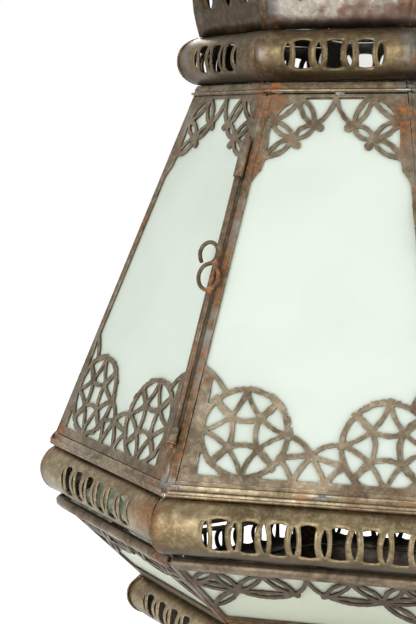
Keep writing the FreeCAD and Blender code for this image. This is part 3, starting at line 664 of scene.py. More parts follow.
def zero_lines(field, us, vs):
    inside = field < 0
    mixed = inside[:-1, :-1].astype(int) + inside[1:, :-1] + inside[:-1, 1:] + inside[1:, 1:]
    link = {}
    for j, i in np.argwhere((mixed > 0) & (mixed < 4)).tolist():
        ring = ((j, i), (j, i + 1), (j + 1, i + 1), (j + 1, i))
        marks = []
        for here, there in zip(ring, ring[1:] + ring[:1]):
            if inside[here] != inside[there]:
                marks.append(((min(here, there), max(here, there)), inside[there]))
        for (key, entering), (next_key, _) in zip(marks, marks[1:] + marks[:1]):
            if entering:
                link[next_key] = key

    def crossing(key):
        here, there = key
        share = field[here] / (field[here] - field[there])
        return (us[here[1]] + share * (us[there[1]] - us[here[1]]),
                vs[here[0]] + share * (vs[there[0]] - vs[here[0]]))

    loops = []
    while link:
        start, key = link.popitem()
        loop = [crossing(start)]
        while key != start:
            loop.append(crossing(key))
            key = link.pop(key)
        loop = thinned(np.array(loop))
        if abs(loop_area(loop)) > LEAST_HOLE:
            loops.append(loop)
    return loops


def loop_area(loop):
    after = np.roll(loop, -1, axis=0)
    return (loop[:, 0] * after[:, 1] - after[:, 0] * loop[:, 1]).sum() / 2


def thinned(loop):
    """The loop with only the points that its shape needs."""
    keep = np.zeros(len(loop), bool)
    far = int(np.argmax(np.hypot(*(loop - loop[0]).T)))
    closed = np.vstack((loop, loop[:1]))
    keep[[0, far]] = True
    spans = [(0, far), (far, len(loop))]
    while spans:
        start, end = spans.pop()
        if end - start < 2:
            continue
        run = closed[start + 1:end] - closed[start]
        chord = closed[end] - closed[start]
        length = max(np.hypot(*chord), 1e-9)
        off = np.abs(run[:, 0] * chord[1] - run[:, 1] * chord[0]) / length
        worst = int(np.argmax(off))
        if off[worst] > OUTLINE_TOLERANCE:
            middle = start + 1 + worst
            keep[middle] = True
            spans += [(start, middle), (middle, end)]
    return loop[keep]


# %% [markdown]
# A flat curve with holes becomes a sheet: fill it on both sides, extrude it, and let a tiny bevel
# round the edges so that they can catch light. The offset draws the outline in by the bevel, which
# keeps the cut at its drawn size.

# %% A sheet cut from loops
EDGE_ROUND = 0.14


def cut_sheet(name, loops, thickness, matrix):
    mesh = curve_mesh(name, "2D", [(loop, 1) for loop in loops], closed=True, fill_mode="BOTH",
                      extrude=thickness / 2 - EDGE_ROUND, bevel_depth=EDGE_ROUND, bevel_resolution=0,
                      offset=-EDGE_ROUND)
    mesh.transform(matrix @ Matrix.Translation((0, 0, -thickness / 2)))
    shade(mesh, 30)
    return mesh


# %% [markdown]
# The motifs come next. A strap may bow to one side, and two straps that bow apart make a petal with
# a pointed slit. A rosette is pure compass work: a ring, four arcs struck from its four poles, which
# leave a square with hollow sides, and straps from each pole to the two corners beside it.

# %% Motifs
STRAP = 2.05
ARC_SHARE = 0.735
BOW_POINTS = 9
LEAST_ARC_POINTS = 6
ARC_STEP = 7
CUT_DEGREES = (7, 14)
CUT_PROUD = (-0.05, 0.95)
NICK_DEPTH = (0.35, 0.65)
NICK_OUT = 0.62


def point(u, v):
    return np.array((u, v), float)


def bowed(start, end, bow):
    """Points of a strap that bows to the left of its way by a share of its length."""
    share = np.linspace(0, 1, BOW_POINTS)[:, None]
    way = end - start
    left = point(-way[1], way[0])
    return start + way * share + left * (4 * bow * share * (1 - share))


def arc(centre, radius, start, end):
    count = max(LEAST_ARC_POINTS, int(abs(end - start) / ARC_STEP))
    angles = np.radians(np.linspace(start, end, count))
    return centre + radius * np.column_stack((np.cos(angles), np.sin(angles)))


def on_ring(centre, radius, degrees):
    angle = math.radians(degrees)
    return centre + radius * point(math.cos(angle), math.sin(angle))


def petal(cutting, start, end, slit, lean=0.0):
    """Two straps that bow apart, or lean to one side, and leave a pointed slit between them."""
    length = np.hypot(*(end - start))
    bow = (slit + STRAP) / 2 / length * cutting.hand.uniform(0.9, 1.1)
    cutting.strap(bowed(start, end, lean / length + bow), STRAP)
    cutting.strap(bowed(start, end, lean / length - bow), STRAP)


def rosette(cutting, centre, radius):
    arc_radius = ARC_SHARE * radius
    spread = math.degrees(math.acos(arc_radius / (2 * radius)))
    inner = (radius - math.sqrt(2 * arc_radius ** 2 - radius ** 2)) / math.sqrt(2)
    cutting.strap(arc(centre, radius, 0, 360), STRAP)
    chisel_marks(cutting, centre, radius)
    for quarter in range(4):
        turn = 90 * quarter
        pole = on_ring(centre, radius, turn)
        cutting.strap(arc(pole, arc_radius, turn + 180 - spread, turn + 180 + spread), STRAP)
        for sign in (-1, 1):
            corner = on_ring(centre, inner, turn + 45 * sign)
            cutting.strap(bowed(pole, corner, 0.07 * sign), STRAP * 0.9)


def chisel_marks(cutting, centre, radius):
    """Small steps along the outside of a ring, where the chisel went round it in short cuts."""
    angle = 0
    while angle < 360:
        width = cutting.hand.uniform(*CUT_DEGREES)
        out = radius + cutting.hand.uniform(*CUT_PROUD)
        cutting.strap(arc(centre, out, angle + 1, angle + width - 1), STRAP * 0.9, CHISEL_CORNER)
        nick = on_ring(centre, radius + STRAP * NICK_OUT, angle)
        depth = cutting.hand.uniform(*NICK_DEPTH)
        if nick[1] > cutting.low + SILL_STRIP + 2:
            cutting.nick(nick, depth)
        angle += width


# %% [markdown]
# The main sheets carry two rosettes over the sill with a zigzag between them, and a floral corner on
# each side of the head. The maker set each ornament by eye, so no two sheets are quite alike. The
# points below are where the straps cross, in millimetres up or in from the sheet's own edges.

# %% Main fretwork
ROSETTE = 19.3
SILL_STRIP = 4.3
HEAD_STRIP = 1.5
STILE_STRIP = 2.2
SHEET = 1.0
CHISEL_WANDER = 0.15
BY_EYE = 0.4
FRETWORK_SEED = 20
PLACING_SEED = 11
ROSETTE_PLACES = {0: ((-28.6, 29.4), (33.5, 26.4)), 7: ((-33.0, 30.0), (25.8, 27.5))}


class PiercedSide(Cutting):
    """A cutting with solid borders, and with its two slanting edges at hand."""

    def __init__(self, corners, seed, foot, head, stile):
        super().__init__(corners, seed)
        (_, self.low), (half_low, _), (half_high, self.high) = corners[:3]
        self.half_low = half_low
        self.half_high = half_high
        for low, high in ((self.low, self.low + foot), (self.high - head, self.high)):
            self.fill([(-half_low, low), (half_low, low), (half_low, high), (-half_low, high)])
        for sign in (-1, 1):
            self.patch(sign, [(half_low, self.low), (half_high, self.high), (half_high - stile, self.high),
                              (half_low - stile, self.low)])

    def edge(self, v):
        return self.half_low + (self.half_high - self.half_low) * (v - self.low) / (self.high - self.low)

    def on_edge(self, v):
        return (self.edge(v), v)

    def near(self, u, v):
        return point(u + self.hand.uniform(-BY_EYE, BY_EYE), v + self.hand.uniform(-BY_EYE, BY_EYE))

    def patch(self, sign, corners):
        """A solid patch drawn for the right side, or mirrored to the left."""
        mirrored = [(sign * u, v) for u, v in corners]
        self.fill(mirrored[::sign])


def rosette_row(side, places):
    """Two rosettes, the wedge of plain sheet beside each, its brace, and the zigzag between them."""
    rings = [point(*place) for place in places]
    for sign, ring in zip((-1, 1), rings):
        rosette(side, ring, ROSETTE)
        reach = sign * ring[0]
        top = ring[1] + 1.22 * ROSETTE
        side.patch(sign, [(reach + 1.02 * ROSETTE, side.low), side.on_edge(side.low), side.on_edge(top + 6),
                          (reach + 0.84 * ROSETTE, top)])
        brace_end = point(sign * (side.edge(top + 5) - 2), top + 4.5)
        side.strap(bowed(on_ring(ring, ROSETTE, 90 - sign * 30), brace_end, 0.08 * sign), STRAP)

    left, right = rings
    knot = side.near((left[0] + right[0]) / 2 - 1.2, (left[1] + right[1]) / 2 - 6.8)
    feet = [side.near(knot[0] + offset, side.low + SILL_STRIP - 1) for offset in (-7.4, 6.6)]
    ties = [on_ring(left, ROSETTE, -31), on_ring(right, ROSETTE, 180 + 27)]
    for tie, foot, ring, sign in zip(ties, feet, rings, (1, -1)):
        side.strap(bowed(on_ring(ring, ROSETTE, 90 - 90 * sign), knot, 0.12 * sign), STRAP)
        side.strap(bowed(tie, knot, 0.02), STRAP)
        side.strap(bowed(tie, foot, 0.05 * sign), STRAP)
        side.strap(bowed(foot, knot, 0.03 * sign), STRAP)


def floral_corner(side, sign):
    """Petals that fan out from a stem on the stile and a root at the head."""
    high = side.high
    root = side.near(sign * 16.4, high - 1.0)
    stem = side.near(sign * (side.edge(high - 13) - 4.8), high - 13.0)
    inner = side.near(sign * 8.8, high - 15.2)
    outer = side.near(sign * 18.0, high - 21.2)
    heel = side.near(sign * (side.edge(high - 30) - 6.2), high - 30.0)
    for start, end, slit in ((stem, root, 2.4), (root, inner, 2.5), (stem, outer, 2.3), (inner, outer, 2.2),
                             (outer, heel, 2.3)):
        petal(side, start, end, slit)
    side.strap(bowed(inner, point(0, high - 1), 0.10 * sign), STRAP)
    side.nub(inner + point(-2.7 * sign, -1.0), 1.8)
    side.nub(outer + point(-1.6 * sign, -3.4), 1.9)

    # The corner is solid up to the first petal, and a wedge of sheet runs down the stile to a thin tail
    stem_u, stem_v = abs(stem[0]), stem[1]
    heel_u, heel_v = abs(heel[0]), heel[1]
    waist_v = heel_v - 6.5
    waist = (side.edge(waist_v) - 5.2, waist_v)
    tail_v = heel_v - 12.0
    tail = (side.edge(tail_v) - STILE_STRIP, tail_v)
    side.patch(sign, [side.on_edge(high), (abs(root[0]) + 1.4, high), (stem_u + 1.6, stem_v + 1.6),
                      side.on_edge(stem_v)])
    side.patch(sign, [(side.edge(stem_v), stem_v + 2), (stem_u, stem_v), (heel_u, heel_v),
                      side.on_edge(heel_v)])
    side.patch(sign, [side.on_edge(heel_v), (heel_u, heel_v), waist, side.on_edge(waist_v)])
    side.patch(sign, [side.on_edge(waist_v), waist, tail, side.on_edge(tail_v)])


def main_fretwork(corners, places, seed):
    side = PiercedSide(corners, seed, SILL_STRIP, HEAD_STRIP, STILE_STRIP)
    rosette_row(side, places)
    for sign in (-1, 1):
        floral_corner(side, sign)
    return side.loops(CHISEL_WANDER)


placing = random.Random(PLACING_SEED)
for number in range(SIDES):
    node = "door_fretwork" if number == 0 else "fretwork_%d" % number
    shift = placing.uniform(-3, 3)
    by_eye = ((shift - 31, 29 + placing.uniform(-1, 1)), (shift + 31, 28 + placing.uniform(-1, 1)))
    places = ROSETTE_PLACES.get(number, by_eye)
    loops = main_fretwork(main_storey.sheet_corners(node, number), places, FRETWORK_SEED + number)
    mesh = cut_sheet("pierced_" + node, loops, SHEET, main_storey.matrix(number))
    add_piece("pierced_" + node, mesh, FRET_IRON, "door" if number == 0 else "lantern", "fretwork_iron", node)
    print(node, len(loops), "loops,", len(mesh.polygons), "faces")

# %% [markdown]
# A door needs a stop. Thin lips along its latch side and its foot lie over the post and the rail and
# hide the gap, and a thin dark strip along the inside of the upright one is a painted shadow line.

# %% Lips of the door
LIP = 0.45
LIP_LIFT = 0.02
LIP_START = 0.4
LIP_END = 3.55
LIP_OVERLAP = 1.0
FOOT_LIP = 2.4
SHADOW_LINE_WIDTH = 0.5
SHADOW_LINE_LIFT = 0.1
SHADOW_LINE_TOP = 57.0


def along_post(inset, v):
    """A point of the front side, in from its left corner."""
    return (inset - main_storey.half(v), v)


(_, low), _, (_, high) = main_storey.sheet_corners("door_fretwork", 0)[:3]
foot = low - FOOT_LIP
upright = [along_post(LIP_START, foot), along_post(LIP_END, foot),
           along_post(LIP_END, high - LIP_OVERLAP), along_post(LIP_START, high - LIP_OVERLAP)]
level = [along_post(LIP_END, foot), (main_storey.half(foot) - LIP_END, foot),
         (main_storey.half(low) - LIP_END, low + LIP_OVERLAP), along_post(LIP_END, low + LIP_OVERLAP)]
# A dark strip laid on the sheet along the lip: a painted shadow line.
shadow_line = [along_post(LIP_END, low + LIP_OVERLAP), along_post(LIP_END + SHADOW_LINE_WIDTH, low + LIP_OVERLAP),
        along_post(LIP_END + SHADOW_LINE_WIDTH, SHADOW_LINE_TOP), along_post(LIP_END, SHADOW_LINE_TOP)]
thin = 2 * EDGE_ROUND
for name, loop, height, top, finish in (("latch_lip", upright, LIP, LIP + LIP_LIFT, FRAME_IRON),
                                        ("foot_lip", level, thin, thin + LIP_LIFT, FRET_IRON),
                                        ("painted_shadow_line", shadow_line, thin, SHADOW_LINE_LIFT, DARK_INSIDE_AND_SHADOW)):
    plane = main_storey.matrix(0) @ Matrix.Translation((0, 0, top))
    add_piece(name, cut_sheet(name, [np.array(loop)], height, plane), finish, "door", "frame_iron")
print("lips of the door:", round(high - foot), "mm tall")

# %% [markdown]
# The belly below the big band has a garland of petals under its head rail. It is drawn with the same
# tools: roots along the rail, drops below them, petals between, and single straps at the middle.

# %% Belly garlands
GARLAND_RAIL = 10.2
BELLY_STRIP = 2.4
GARLAND_SEED = 50


def belly_garland(corners, seed):
    head = corners[2][1] - belly_storey.length + GARLAND_RAIL
    side = PiercedSide(corners, seed, BELLY_STRIP, head, BELLY_STRIP)
    rail = belly_storey.length - GARLAND_RAIL - 0.4
    for sign in (-1, 1):
        corner = side.near(sign * (side.edge(rail - 11) - 2.4), rail - 11)
        root_out = side.near(sign * 41.6, rail)
        root_in = side.near(sign * 19.4, rail)
        drop_out = side.near(sign * 32.4, rail - 15.6)
        drop_in = side.near(sign * 7.0, rail - 14.6)
        tail = side.near(sign * (side.edge(rail - 32) - 2.6), rail - 32)
        for start, end, slit in ((corner, root_out, 2.6), (root_out, drop_out, 2.8), (root_in, drop_out, 2.8),
                                 (root_in, drop_in, 2.8), (corner, drop_out, 2.4), (drop_out, tail, 2.8)):
            petal(side, start, end, slit)
        petal(side, drop_out, drop_in, 2.4, 2.3 * sign)
        side.strap(bowed(drop_in, point(0, rail), 0.10 * sign), STRAP)
        side.nub(drop_in + point(-1.0 * sign, -0.8), 1.6)
    return side.loops(CHISEL_WANDER)


for number in range(SIDES):
    node = "belly_fretwork_%d" % number
    loops = belly_garland(belly_storey.sheet_corners(node, number), GARLAND_SEED + number)
    mesh = cut_sheet("garland_%d" % number, loops, SHEET, belly_storey.matrix(number))
    add_piece("garland_%d" % number, mesh, SHADED_BELLY_IRON, "lantern", "fretwork_iron", node)
print("garlands done")

# %% [markdown]
# The bands are half-round channels bent from flat strip after a row of slots was cut in it. The same
# order works here: draw the strip flat, with arc length across it, cut the slots, fill it with
# triangles that know about every outline, and only then bend it. Mitred ends come for free, because
# the strip is simply longer where the bent channel stands further out.

# %% Bent sheets
DENT_LENGTH = 14
DENT_WIDTH = 9
SAME_POINT = 1e-5


def in_loop(loop, points):
    """Which points lie inside a closed loop, by counting crossings to the right."""
    inside = np.zeros(len(points), bool)
    for (u0, v0), (u1, v1) in zip(loop, np.roll(loop, -1, axis=0)):
        if v0 == v1:
            continue
        spans = (v0 > points[:, 1]) != (v1 > points[:, 1])
        cross = u0 + (points[:, 1] - v0) * (u1 - u0) / (v1 - v0)
        inside ^= spans & (points[:, 0] < cross)
    return inside


class BentStrip:
    """One mitred side of a sheet bent round a level line: a band length or a gore of the dome."""

    def __init__(self, line_radius, line_height, bend_radius, start, end, mitre_gap=0.1, right_gap=0.0):
        self.line_radius = line_radius
        self.line_height = line_height
        self.bend_radius = bend_radius
        self.start = start
        self.end = end
        self.mitre_gap = mitre_gap
        self.right_gap = right_gap

    def half_length(self, angle):
        return (self.line_radius + self.bend_radius * math.cos(angle)) * math.tan(HALF_TURN) - self.mitre_gap

    def triangles(self, holes, rows, column):
        """Corner points (u, angle) and triangles of the flat strip, without its holes."""
        corners = []
        edges = []
        scale = self.bend_radius
        for row in range(rows + 1):
            angle = self.start + (self.end - self.start) * row / rows
            half = self.half_length(angle)
            length = 2 * half - self.right_gap
            count = max(1, round(length / column))
            first = len(corners)
            for k in range(count + 1):
                corners.append(Vector((length * k / count - half, angle * scale)))
            edges += [(first + k, first + k + 1) for k in range(count)]
        for hole in holes:
            first = len(corners)
            corners += [Vector(p) for p in hole]
            edges += [(first + k, first + (k + 1) % len(hole)) for k in range(len(hole))]
        flat, _, faces, *_ = delaunay_2d_cdt(corners, edges, [], 0, SAME_POINT)
        flat = np.array([tuple(p) for p in flat])
        faces = np.array(faces)
        centres = flat[faces].mean(axis=1)
        ends = np.array([self.half_length(a) for a in centres[:, 1] / scale])
        keep = (centres[:, 0] > -ends) & (centres[:, 0] < ends - self.right_gap)
        for hole in holes:
            keep &= ~in_loop(np.asarray(hole), centres)
        return flat, faces[keep]

    def bend(self, flat, dents, seed):
        """Points in metres on the front side, with a slight unevenness of hand-beaten sheet."""
        bent = []
        for u, across in flat:
            angle = across / self.bend_radius
            dent = dents * noise.noise(Vector((u / DENT_LENGTH, across / DENT_WIDTH, seed * 3.7)))
            radius = self.bend_radius + dent
            out = self.line_radius + radius * math.cos(angle)
            bent.append(Vector((u, -out, self.line_height + radius * math.sin(angle))) * MM)
        return bent


def bent_object(name, strips, holes, rows, column, dents, tones=(0,) * SIDES):
    """All eight sides of a bent sheet as one mesh. A tone picks the pair of finishes of a side."""
    bm = bmesh.new()
    for number, strip in enumerate(strips):
        flat, faces = strip.triangles(holes[number], rows, column)
        turn = side_turn(number)
        corners = [bm.verts.new(turn @ p) for p in strip.bend(flat, dents, number)]
        for a, b, c in faces.tolist():
            bm.faces.new((corners[a], corners[b], corners[c])).material_index = 2 * tones[number]
    loose = [vertex for vertex in bm.verts if not vertex.link_faces]
    bmesh.ops.delete(bm, geom=loose, context="VERTS")
    bmesh.ops.recalc_face_normals(bm, faces=bm.faces)
    mesh = mesh_from(name, bm)
    shade(mesh, 50)
    return mesh


def thicken(piece, thickness, *finishes):
    """Give a bent sheet its thickness, inwards from the drawn face, and a dark inside."""
    for finish in (DARK_INSIDE_AND_SHADOW, *finishes):
        piece.data.materials.append(finish)
    solid = piece.modifiers.new("sheet", "SOLIDIFY")
    solid.thickness = thickness * MM
    solid.offset = -1
    solid.use_even_offset = True
    solid.material_offset = 1


# %% [markdown]
# A band's row alternates narrow lens-shaped slots with wide waisted openings, so that what is left
# between them is a row of thin ribs that bow in pairs. Each opening is a closed curve from a formula,
# a little different every time.

# %% Band slots
SLOT_REACH = 0.52
LENS_HALF = 1.3
LENS_TIP = 0.12
WAIST_HALF = 2.9
MOUTH_HALF = 3.7
MOUTH_BOW = 0.9
SLOT_STEPS = 8


def slot_sides(middle, waist, mouth, tall, hand):
    """The right side of a slot, going up, and its left side, going down."""
    heights = np.linspace(-tall, tall, 2 * SLOT_STEPS)
    lean = hand.uniform(-0.05, 0.05) * heights
    width = waist + (mouth - waist) * (heights / tall) ** 2
    right = np.column_stack((middle + width + lean, heights))
    left = np.column_stack((middle - width + lean, heights))
    return right, left[::-1]


def lens_slot(middle, half, tall, hand):
    return np.vstack(slot_sides(middle, half + LENS_TIP, LENS_TIP, tall, hand))


def waisted_slot(middle, waist, mouth, tall, hand):
    right, left = slot_sides(middle, waist, mouth, tall, hand)
    across = np.linspace(0.8, -0.8, 5)
    rise = tall + MOUTH_BOW * (1 - across ** 2)
    top = np.column_stack((middle + across * mouth, rise + hand.uniform(-0.2, 0.2)))
    foot = np.column_stack((middle - across * mouth, -rise))
    return np.vstack((right, top, left, foot))


def slot_row(strip, first, last, pitch, share, seed):
    """A row of slots along the crest of a band, with a lens at each end."""
    hand = random.Random(seed)
    count = round((last - first) / pitch)
    pitch = (last - first) / count
    tall = SLOT_REACH * strip.bend_radius
    holes = []
    for k in range(count):
        middle = first + (k + 0.5) * pitch + hand.uniform(-0.4, 0.4)
        holes.append(waisted_slot(middle, WAIST_HALF * share, MOUTH_HALF * share, tall, hand))
    for k in range(count + 1):
        middle = first + k * pitch + hand.uniform(-0.25, 0.25)
        holes.append(lens_slot(middle, LENS_HALF * share, tall * hand.uniform(0.92, 1.0), hand))
    return holes


# %% [markdown]
# The three bands differ only in size, which is read from the frame: the height of a band gives its
# bend, and its reach gives the line that it is bent round. The lengths were soldered up by hand, so
# some stand a little further out than their neighbours and show an open end at the mitre.

# %% Bands
BAND_SHEET = 0.8
BAND_ROWS = 18
BAND_COLUMN = 3.0
BAND_DENTS = 0.35
BAND_MITRE = 0.15
OPEN_MITRE = 5.2
OPEN_FROM = 4.0


def band_strip(node, set_back):
    low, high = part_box(node)
    bend = (high[2] - low[2]) / 2 / MM
    line = high[0] / MM - bend - set_back
    return BentStrip(line, (high[2] + low[2]) / 2 / MM, bend, -math.pi / 2, math.pi / 2, BAND_MITRE,
                     OPEN_MITRE if set_back > OPEN_FROM else 0.0)


def add_band(node, finish, pitch, share, seed, set_backs, row, **own_rows):
    """A band whose slots run along one row, apart from the sides that have a row of their own."""
    strips = [band_strip(node, set_back) for set_back in set_backs]
    rows = [own_rows.get("side_%d" % side, row) for side in range(SIDES)]
    holes = [slot_row(strips[k], *rows[k], pitch, share, seed + k) for k in range(SIDES)]
    mesh = bent_object("slotted_" + node, strips, holes, BAND_ROWS, BAND_COLUMN, BAND_DENTS)
    thicken(add_piece("slotted_" + node, mesh, finish, "lantern", "band_iron", node), BAND_SHEET)
    print(node, "bend", round(strips[0].bend_radius, 2), "faces", len(mesh.polygons))


add_band("top_band", SHADED_CROWN_IRON, 14.1, 1.0, 100, (0, 0.6, 0.2, 1.0, 0.4, 0.8, 0.2, 0.9), (-21.3, 21.0),
         side_7=(-18.5, 18.6))
add_band("big_band", BAND_IRON, 12.8, 0.95, 200, (0, 1.6, 0.4, 2.2, 0.8, 1.8, 3.8, 4.2), (-41.0, 44.0),
         side_0=(-40.4, 49.2), side_7=(-36.5, 35.5))
add_band("small_band", BAND_IRON, 12.6, 0.9, 300, (0, 1.0, 0.4, 1.2, 0.6, 1.4, 0.3, 1.6), (-30.0, 32.0))

# %% [markdown]
# The dome is eight gores of tin bent to one round and soldered along their seams. They are bent
# sheets too, only about the upright axis's own level line, with leaf-shaped openings in rows.

# %% Dome
DOME_SHEET = 0.8
DOME_ROWS = 20
DOME_COLUMN = 7.0
DOME_DENTS = 0.5
DOME_LEVEL = 0.05
DOME_SEED = 400
LEAF_HALF = 4.2
LEAF_WANDER = 0.6
LEAF_POINTS = 10
LEAF_ROWS = ((12.5, 20, (-17, 0, 17)), (37, 16, (-9, 9)), (55, 14, (0,)))
GORE_TONES = (0, 0, 1, 0, 1, 0, 0, 1)


def dome_strip():
    low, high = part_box("dome_gores")
    points = node_points("dome_gores") / MM
    apothem = np.maximum(np.abs(points[:, 0]), np.abs(points[:, 1]))
    top = apothem[points[:, 2] > points[:, 2].max() - DOME_LEVEL].max()
    foot = apothem[points[:, 2] < points[:, 2].min() + DOME_LEVEL].max()
    height = (high[2] - low[2]) / MM
    rise = (top ** 2 - foot ** 2 + height ** 2) / (2 * height)
    bend = math.hypot(foot, rise)
    centre = low[2] / MM + rise
    return BentStrip(0, centre, bend, -math.asin(rise / bend), math.asin((height - rise) / bend))


def leaf(middle, foot, tall, half):
    share = np.linspace(0, 1, LEAF_POINTS)
    width = half * np.sin(math.pi * share) ** 0.8
    right = np.column_stack((middle + width, foot + tall * share))
    left = np.column_stack((middle - width, foot + tall * share))
    return np.vstack((right, left[-2:0:-1]))


def dome_holes(strip, seed):
    hand = random.Random(seed)
    foot = strip.start * strip.bend_radius
    holes = []
    for row_foot, tall, places in LEAF_ROWS:
        for middle in places:
            middle += hand.uniform(-LEAF_WANDER, LEAF_WANDER)
            leaf_foot = foot + row_foot + hand.uniform(-LEAF_WANDER, LEAF_WANDER)
            holes.append(leaf(middle, leaf_foot, tall, LEAF_HALF))
    return holes


dome = dome_strip()
holes = [dome_holes(dome, DOME_SEED + k) for k in range(SIDES)]
mesh = bent_object("domed_gores", [dome] * SIDES, holes, DOME_ROWS, DOME_COLUMN, DOME_DENTS, GORE_TONES)
piece = add_piece("domed_gores", mesh, TIN, "lantern", "tin_sheet", "dome_gores")
thicken(piece, DOME_SHEET, BROWN_TIN, DARK_INSIDE_AND_SHADOW)
print("dome bend", round(dome.bend_radius, 1))

# %% [markdown]
# Posts, rails, leaves and clips have the right shape in the frame already, but their edges are
# perfectly sharp. Each is copied, its triangles are joined back into flats, and a bevel modifier
# rounds the edges as rolling and filing do.

# %% Pieces with rounded edges
ROUNDING_STEPS = {"sill_rail": 3, "belly_head_rail": 5, "lamp_holder": 3}
WELD = 1e-6
FLAT_ANGLE = math.radians(2)
EDGE_ANGLE = math.radians(25)


def rounded_copy(name, node, material, body, slot, width):
    bm = bmesh.new()
    bm.from_mesh(frame["nodes"][node].data)
    bmesh.ops.remove_doubles(bm, verts=bm.verts, dist=WELD)
    bmesh.ops.dissolve_limit(bm, angle_limit=FLAT_ANGLE, verts=bm.verts, edges=bm.edges)
    mesh = mesh_from(name, bm)
    bevel = add_piece(name, mesh, material, body, slot, node).modifiers.new("edges", "BEVEL")
    bevel.width = width * MM
    bevel.segments = ROUNDING_STEPS.get(node, 2)
    bevel.limit_method = "ANGLE"
    bevel.angle_limit = EDGE_ANGLE
    shade(mesh, 40)


def wear(material, body, slot, **widths):
    """Rounded copies of several pieces that share a finish, each with the width of its rounding."""
    for node, width in widths.items():
        rounded_copy("worn_" + node, node, material, body, slot, width)


wear(FRAME_IRON, "lantern", "frame_iron", corner_posts=0.35, belly_foot_rail=0.8, hinge_post_leaves=0.25,
     hinge_pins=0.25, pane_clips=0.2, belly_clips=0.2)
wear(RAIL_IRON, "lantern", "frame_iron", top_rail=0.6, sill_rail=0.7)
wear(SLEEVE_IRON, "lantern", "frame_iron", latch_sleeves=0.25)
wear(DARK_FRAME, "lantern", "frame_iron", belly_posts=0.35, belly_head_rail=1.9)
wear(FRAME_IRON, "door", "frame_iron", door_rim=0.4, hinge_door_leaves=0.25, door_clips=0.2)
wear(TIN, "lantern", "tin_sheet", bottom_petals=0.3, crown_cap=0.9)
wear(FRAME_IRON, "lantern", "frame_iron", hanger_eye=0.9, crown_nut=0.3, holder_nut=0.3, lamp_bracket=0.3)

# %% [markdown]
# The belly's posts end behind the head rail. The rail's rounded corner no longer hides their heads,
# so each head is drawn down along its post.

# %% Heads of the belly's posts
POST_SHORT = 5.0

(z_low, r_low), (z_high, r_high) = corner_line("belly_posts")
share = POST_SHORT / belly_storey.length
for vertex in bpy.data.objects["worn_belly_posts"].data.vertices:
    if vertex.co.z > (z_low + z_high) / 2:
        inward = 1 - share * (r_high - r_low) / math.hypot(vertex.co.x, vertex.co.y)
        vertex.co = (vertex.co.x * inward, vertex.co.y * inward, vertex.co.z - share * (z_high - z_low))
print("belly posts shortened by", POST_SHORT, "mm")

# %% [markdown]
# The flaps of the hinge end at the stile, so that nothing lies over the glass. Each point of them that
# reaches further in from the right corner is drawn back to that line.

# %% Hinge flaps
FLAP_END = 3.8

front = main_storey.matrix(0)
for vertex in bpy.data.objects["worn_hinge_door_leaves"].data.vertices:
    on_side = front.inverted() @ vertex.co
    on_side.x = max(on_side.x, main_storey.half(on_side.y) - FLAP_END)
    vertex.co = front @ on_side
print("hinge flaps end", FLAP_END, "mm from the corner")

# %% [markdown]
# The panes keep their own flat shape, so only their finish changes: a finish goes into the material
# slots of the frame's piece.

# %% Panes


def set_finish(node, material):
    for slot in frame["nodes"][node].material_slots:
        slot.material = material


for node in ["pane_%d" % side for side in range(1, SIDES)] + ["door_pane"]:
    set_finish(node, PANE_GLASS)
set_finish("belly_panes", BELLY_GLASS)
print("panes finished:", SIDES, "above and", SIDES, "below")

# %% [markdown]
# The latch is a round rod that turns in two sleeves, with an S of thinner wire for a handle. A curve
# with a round bevel is a bent wire. The rod's axis is the joint's own axis, and the wire lies along
# the left side at rest.

# %% Latch
LATCH_ROD = 1.5
LATCH_WIRE = 0.95
HANDLE_X = 3.3
TAIL_WIDE, TAIL_TALL = 5.0, 6.1
HEAD_WIDE, HEAD_TALL = 4.5, 5.1
HANDLE_AT = 105.4
HANDLE_LEAN = math.radians(14)
HANDLE_PROUD = 0.85
AXIS_POINT_AT = 90.0
HANDLE_REST = math.radians(28)
HANDLE_TIP = ((0.25, 3.2), (0.9, 1.3))
WIRE_POINTS = 28


def tube_mesh(name, paths):
    """One mesh of round wires, each a list of points in metres and a radius in millimetres."""
    mesh = curve_mesh(name, "3D", paths, bevel_depth=MM, bevel_resolution=3, use_fill_caps=True)
    shade(mesh, 50)
    return mesh


turn_joint = next(joint for joint in frame["joints"] if joint["name"] == "latch_turn")
along = Vector(turn_joint["axis"]).normalized()
anchor = Vector(turn_joint["pos_m"])
left_face = rightward(-2 * HALF_TURN) * -1
left_face = (left_face - along * left_face.dot(along)).normalized()
off_face = along.cross(left_face)
if off_face.y > 0:
    off_face = -off_face
across = left_face * math.cos(HANDLE_REST) + off_face * math.sin(HANDLE_REST)
proud = off_face * math.cos(HANDLE_REST) - left_face * math.sin(HANDLE_REST)
rod_foot, rod_head = (anchor + along * ((corner[2] - anchor.z) / along.z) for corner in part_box("latch_rod"))


def on_handle(x, z):
    """A point of the S, drawn upright about its waist and then leant away from the rod."""
    leant_x = x * math.cos(HANDLE_LEAN) + z * math.sin(HANDLE_LEAN)
    leant_z = z * math.cos(HANDLE_LEAN) - x * math.sin(HANDLE_LEAN)
    height = HANDLE_AT - AXIS_POINT_AT + leant_z
    return anchor + (across * leant_x + proud * HANDLE_PROUD + along * height) * MM


def wire_arc(z, wide, tall, start, end):
    angles = np.radians(np.linspace(start, end, WIRE_POINTS))
    return [on_handle(HANDLE_X + wide * math.cos(a), z + tall * math.sin(a)) for a in angles]


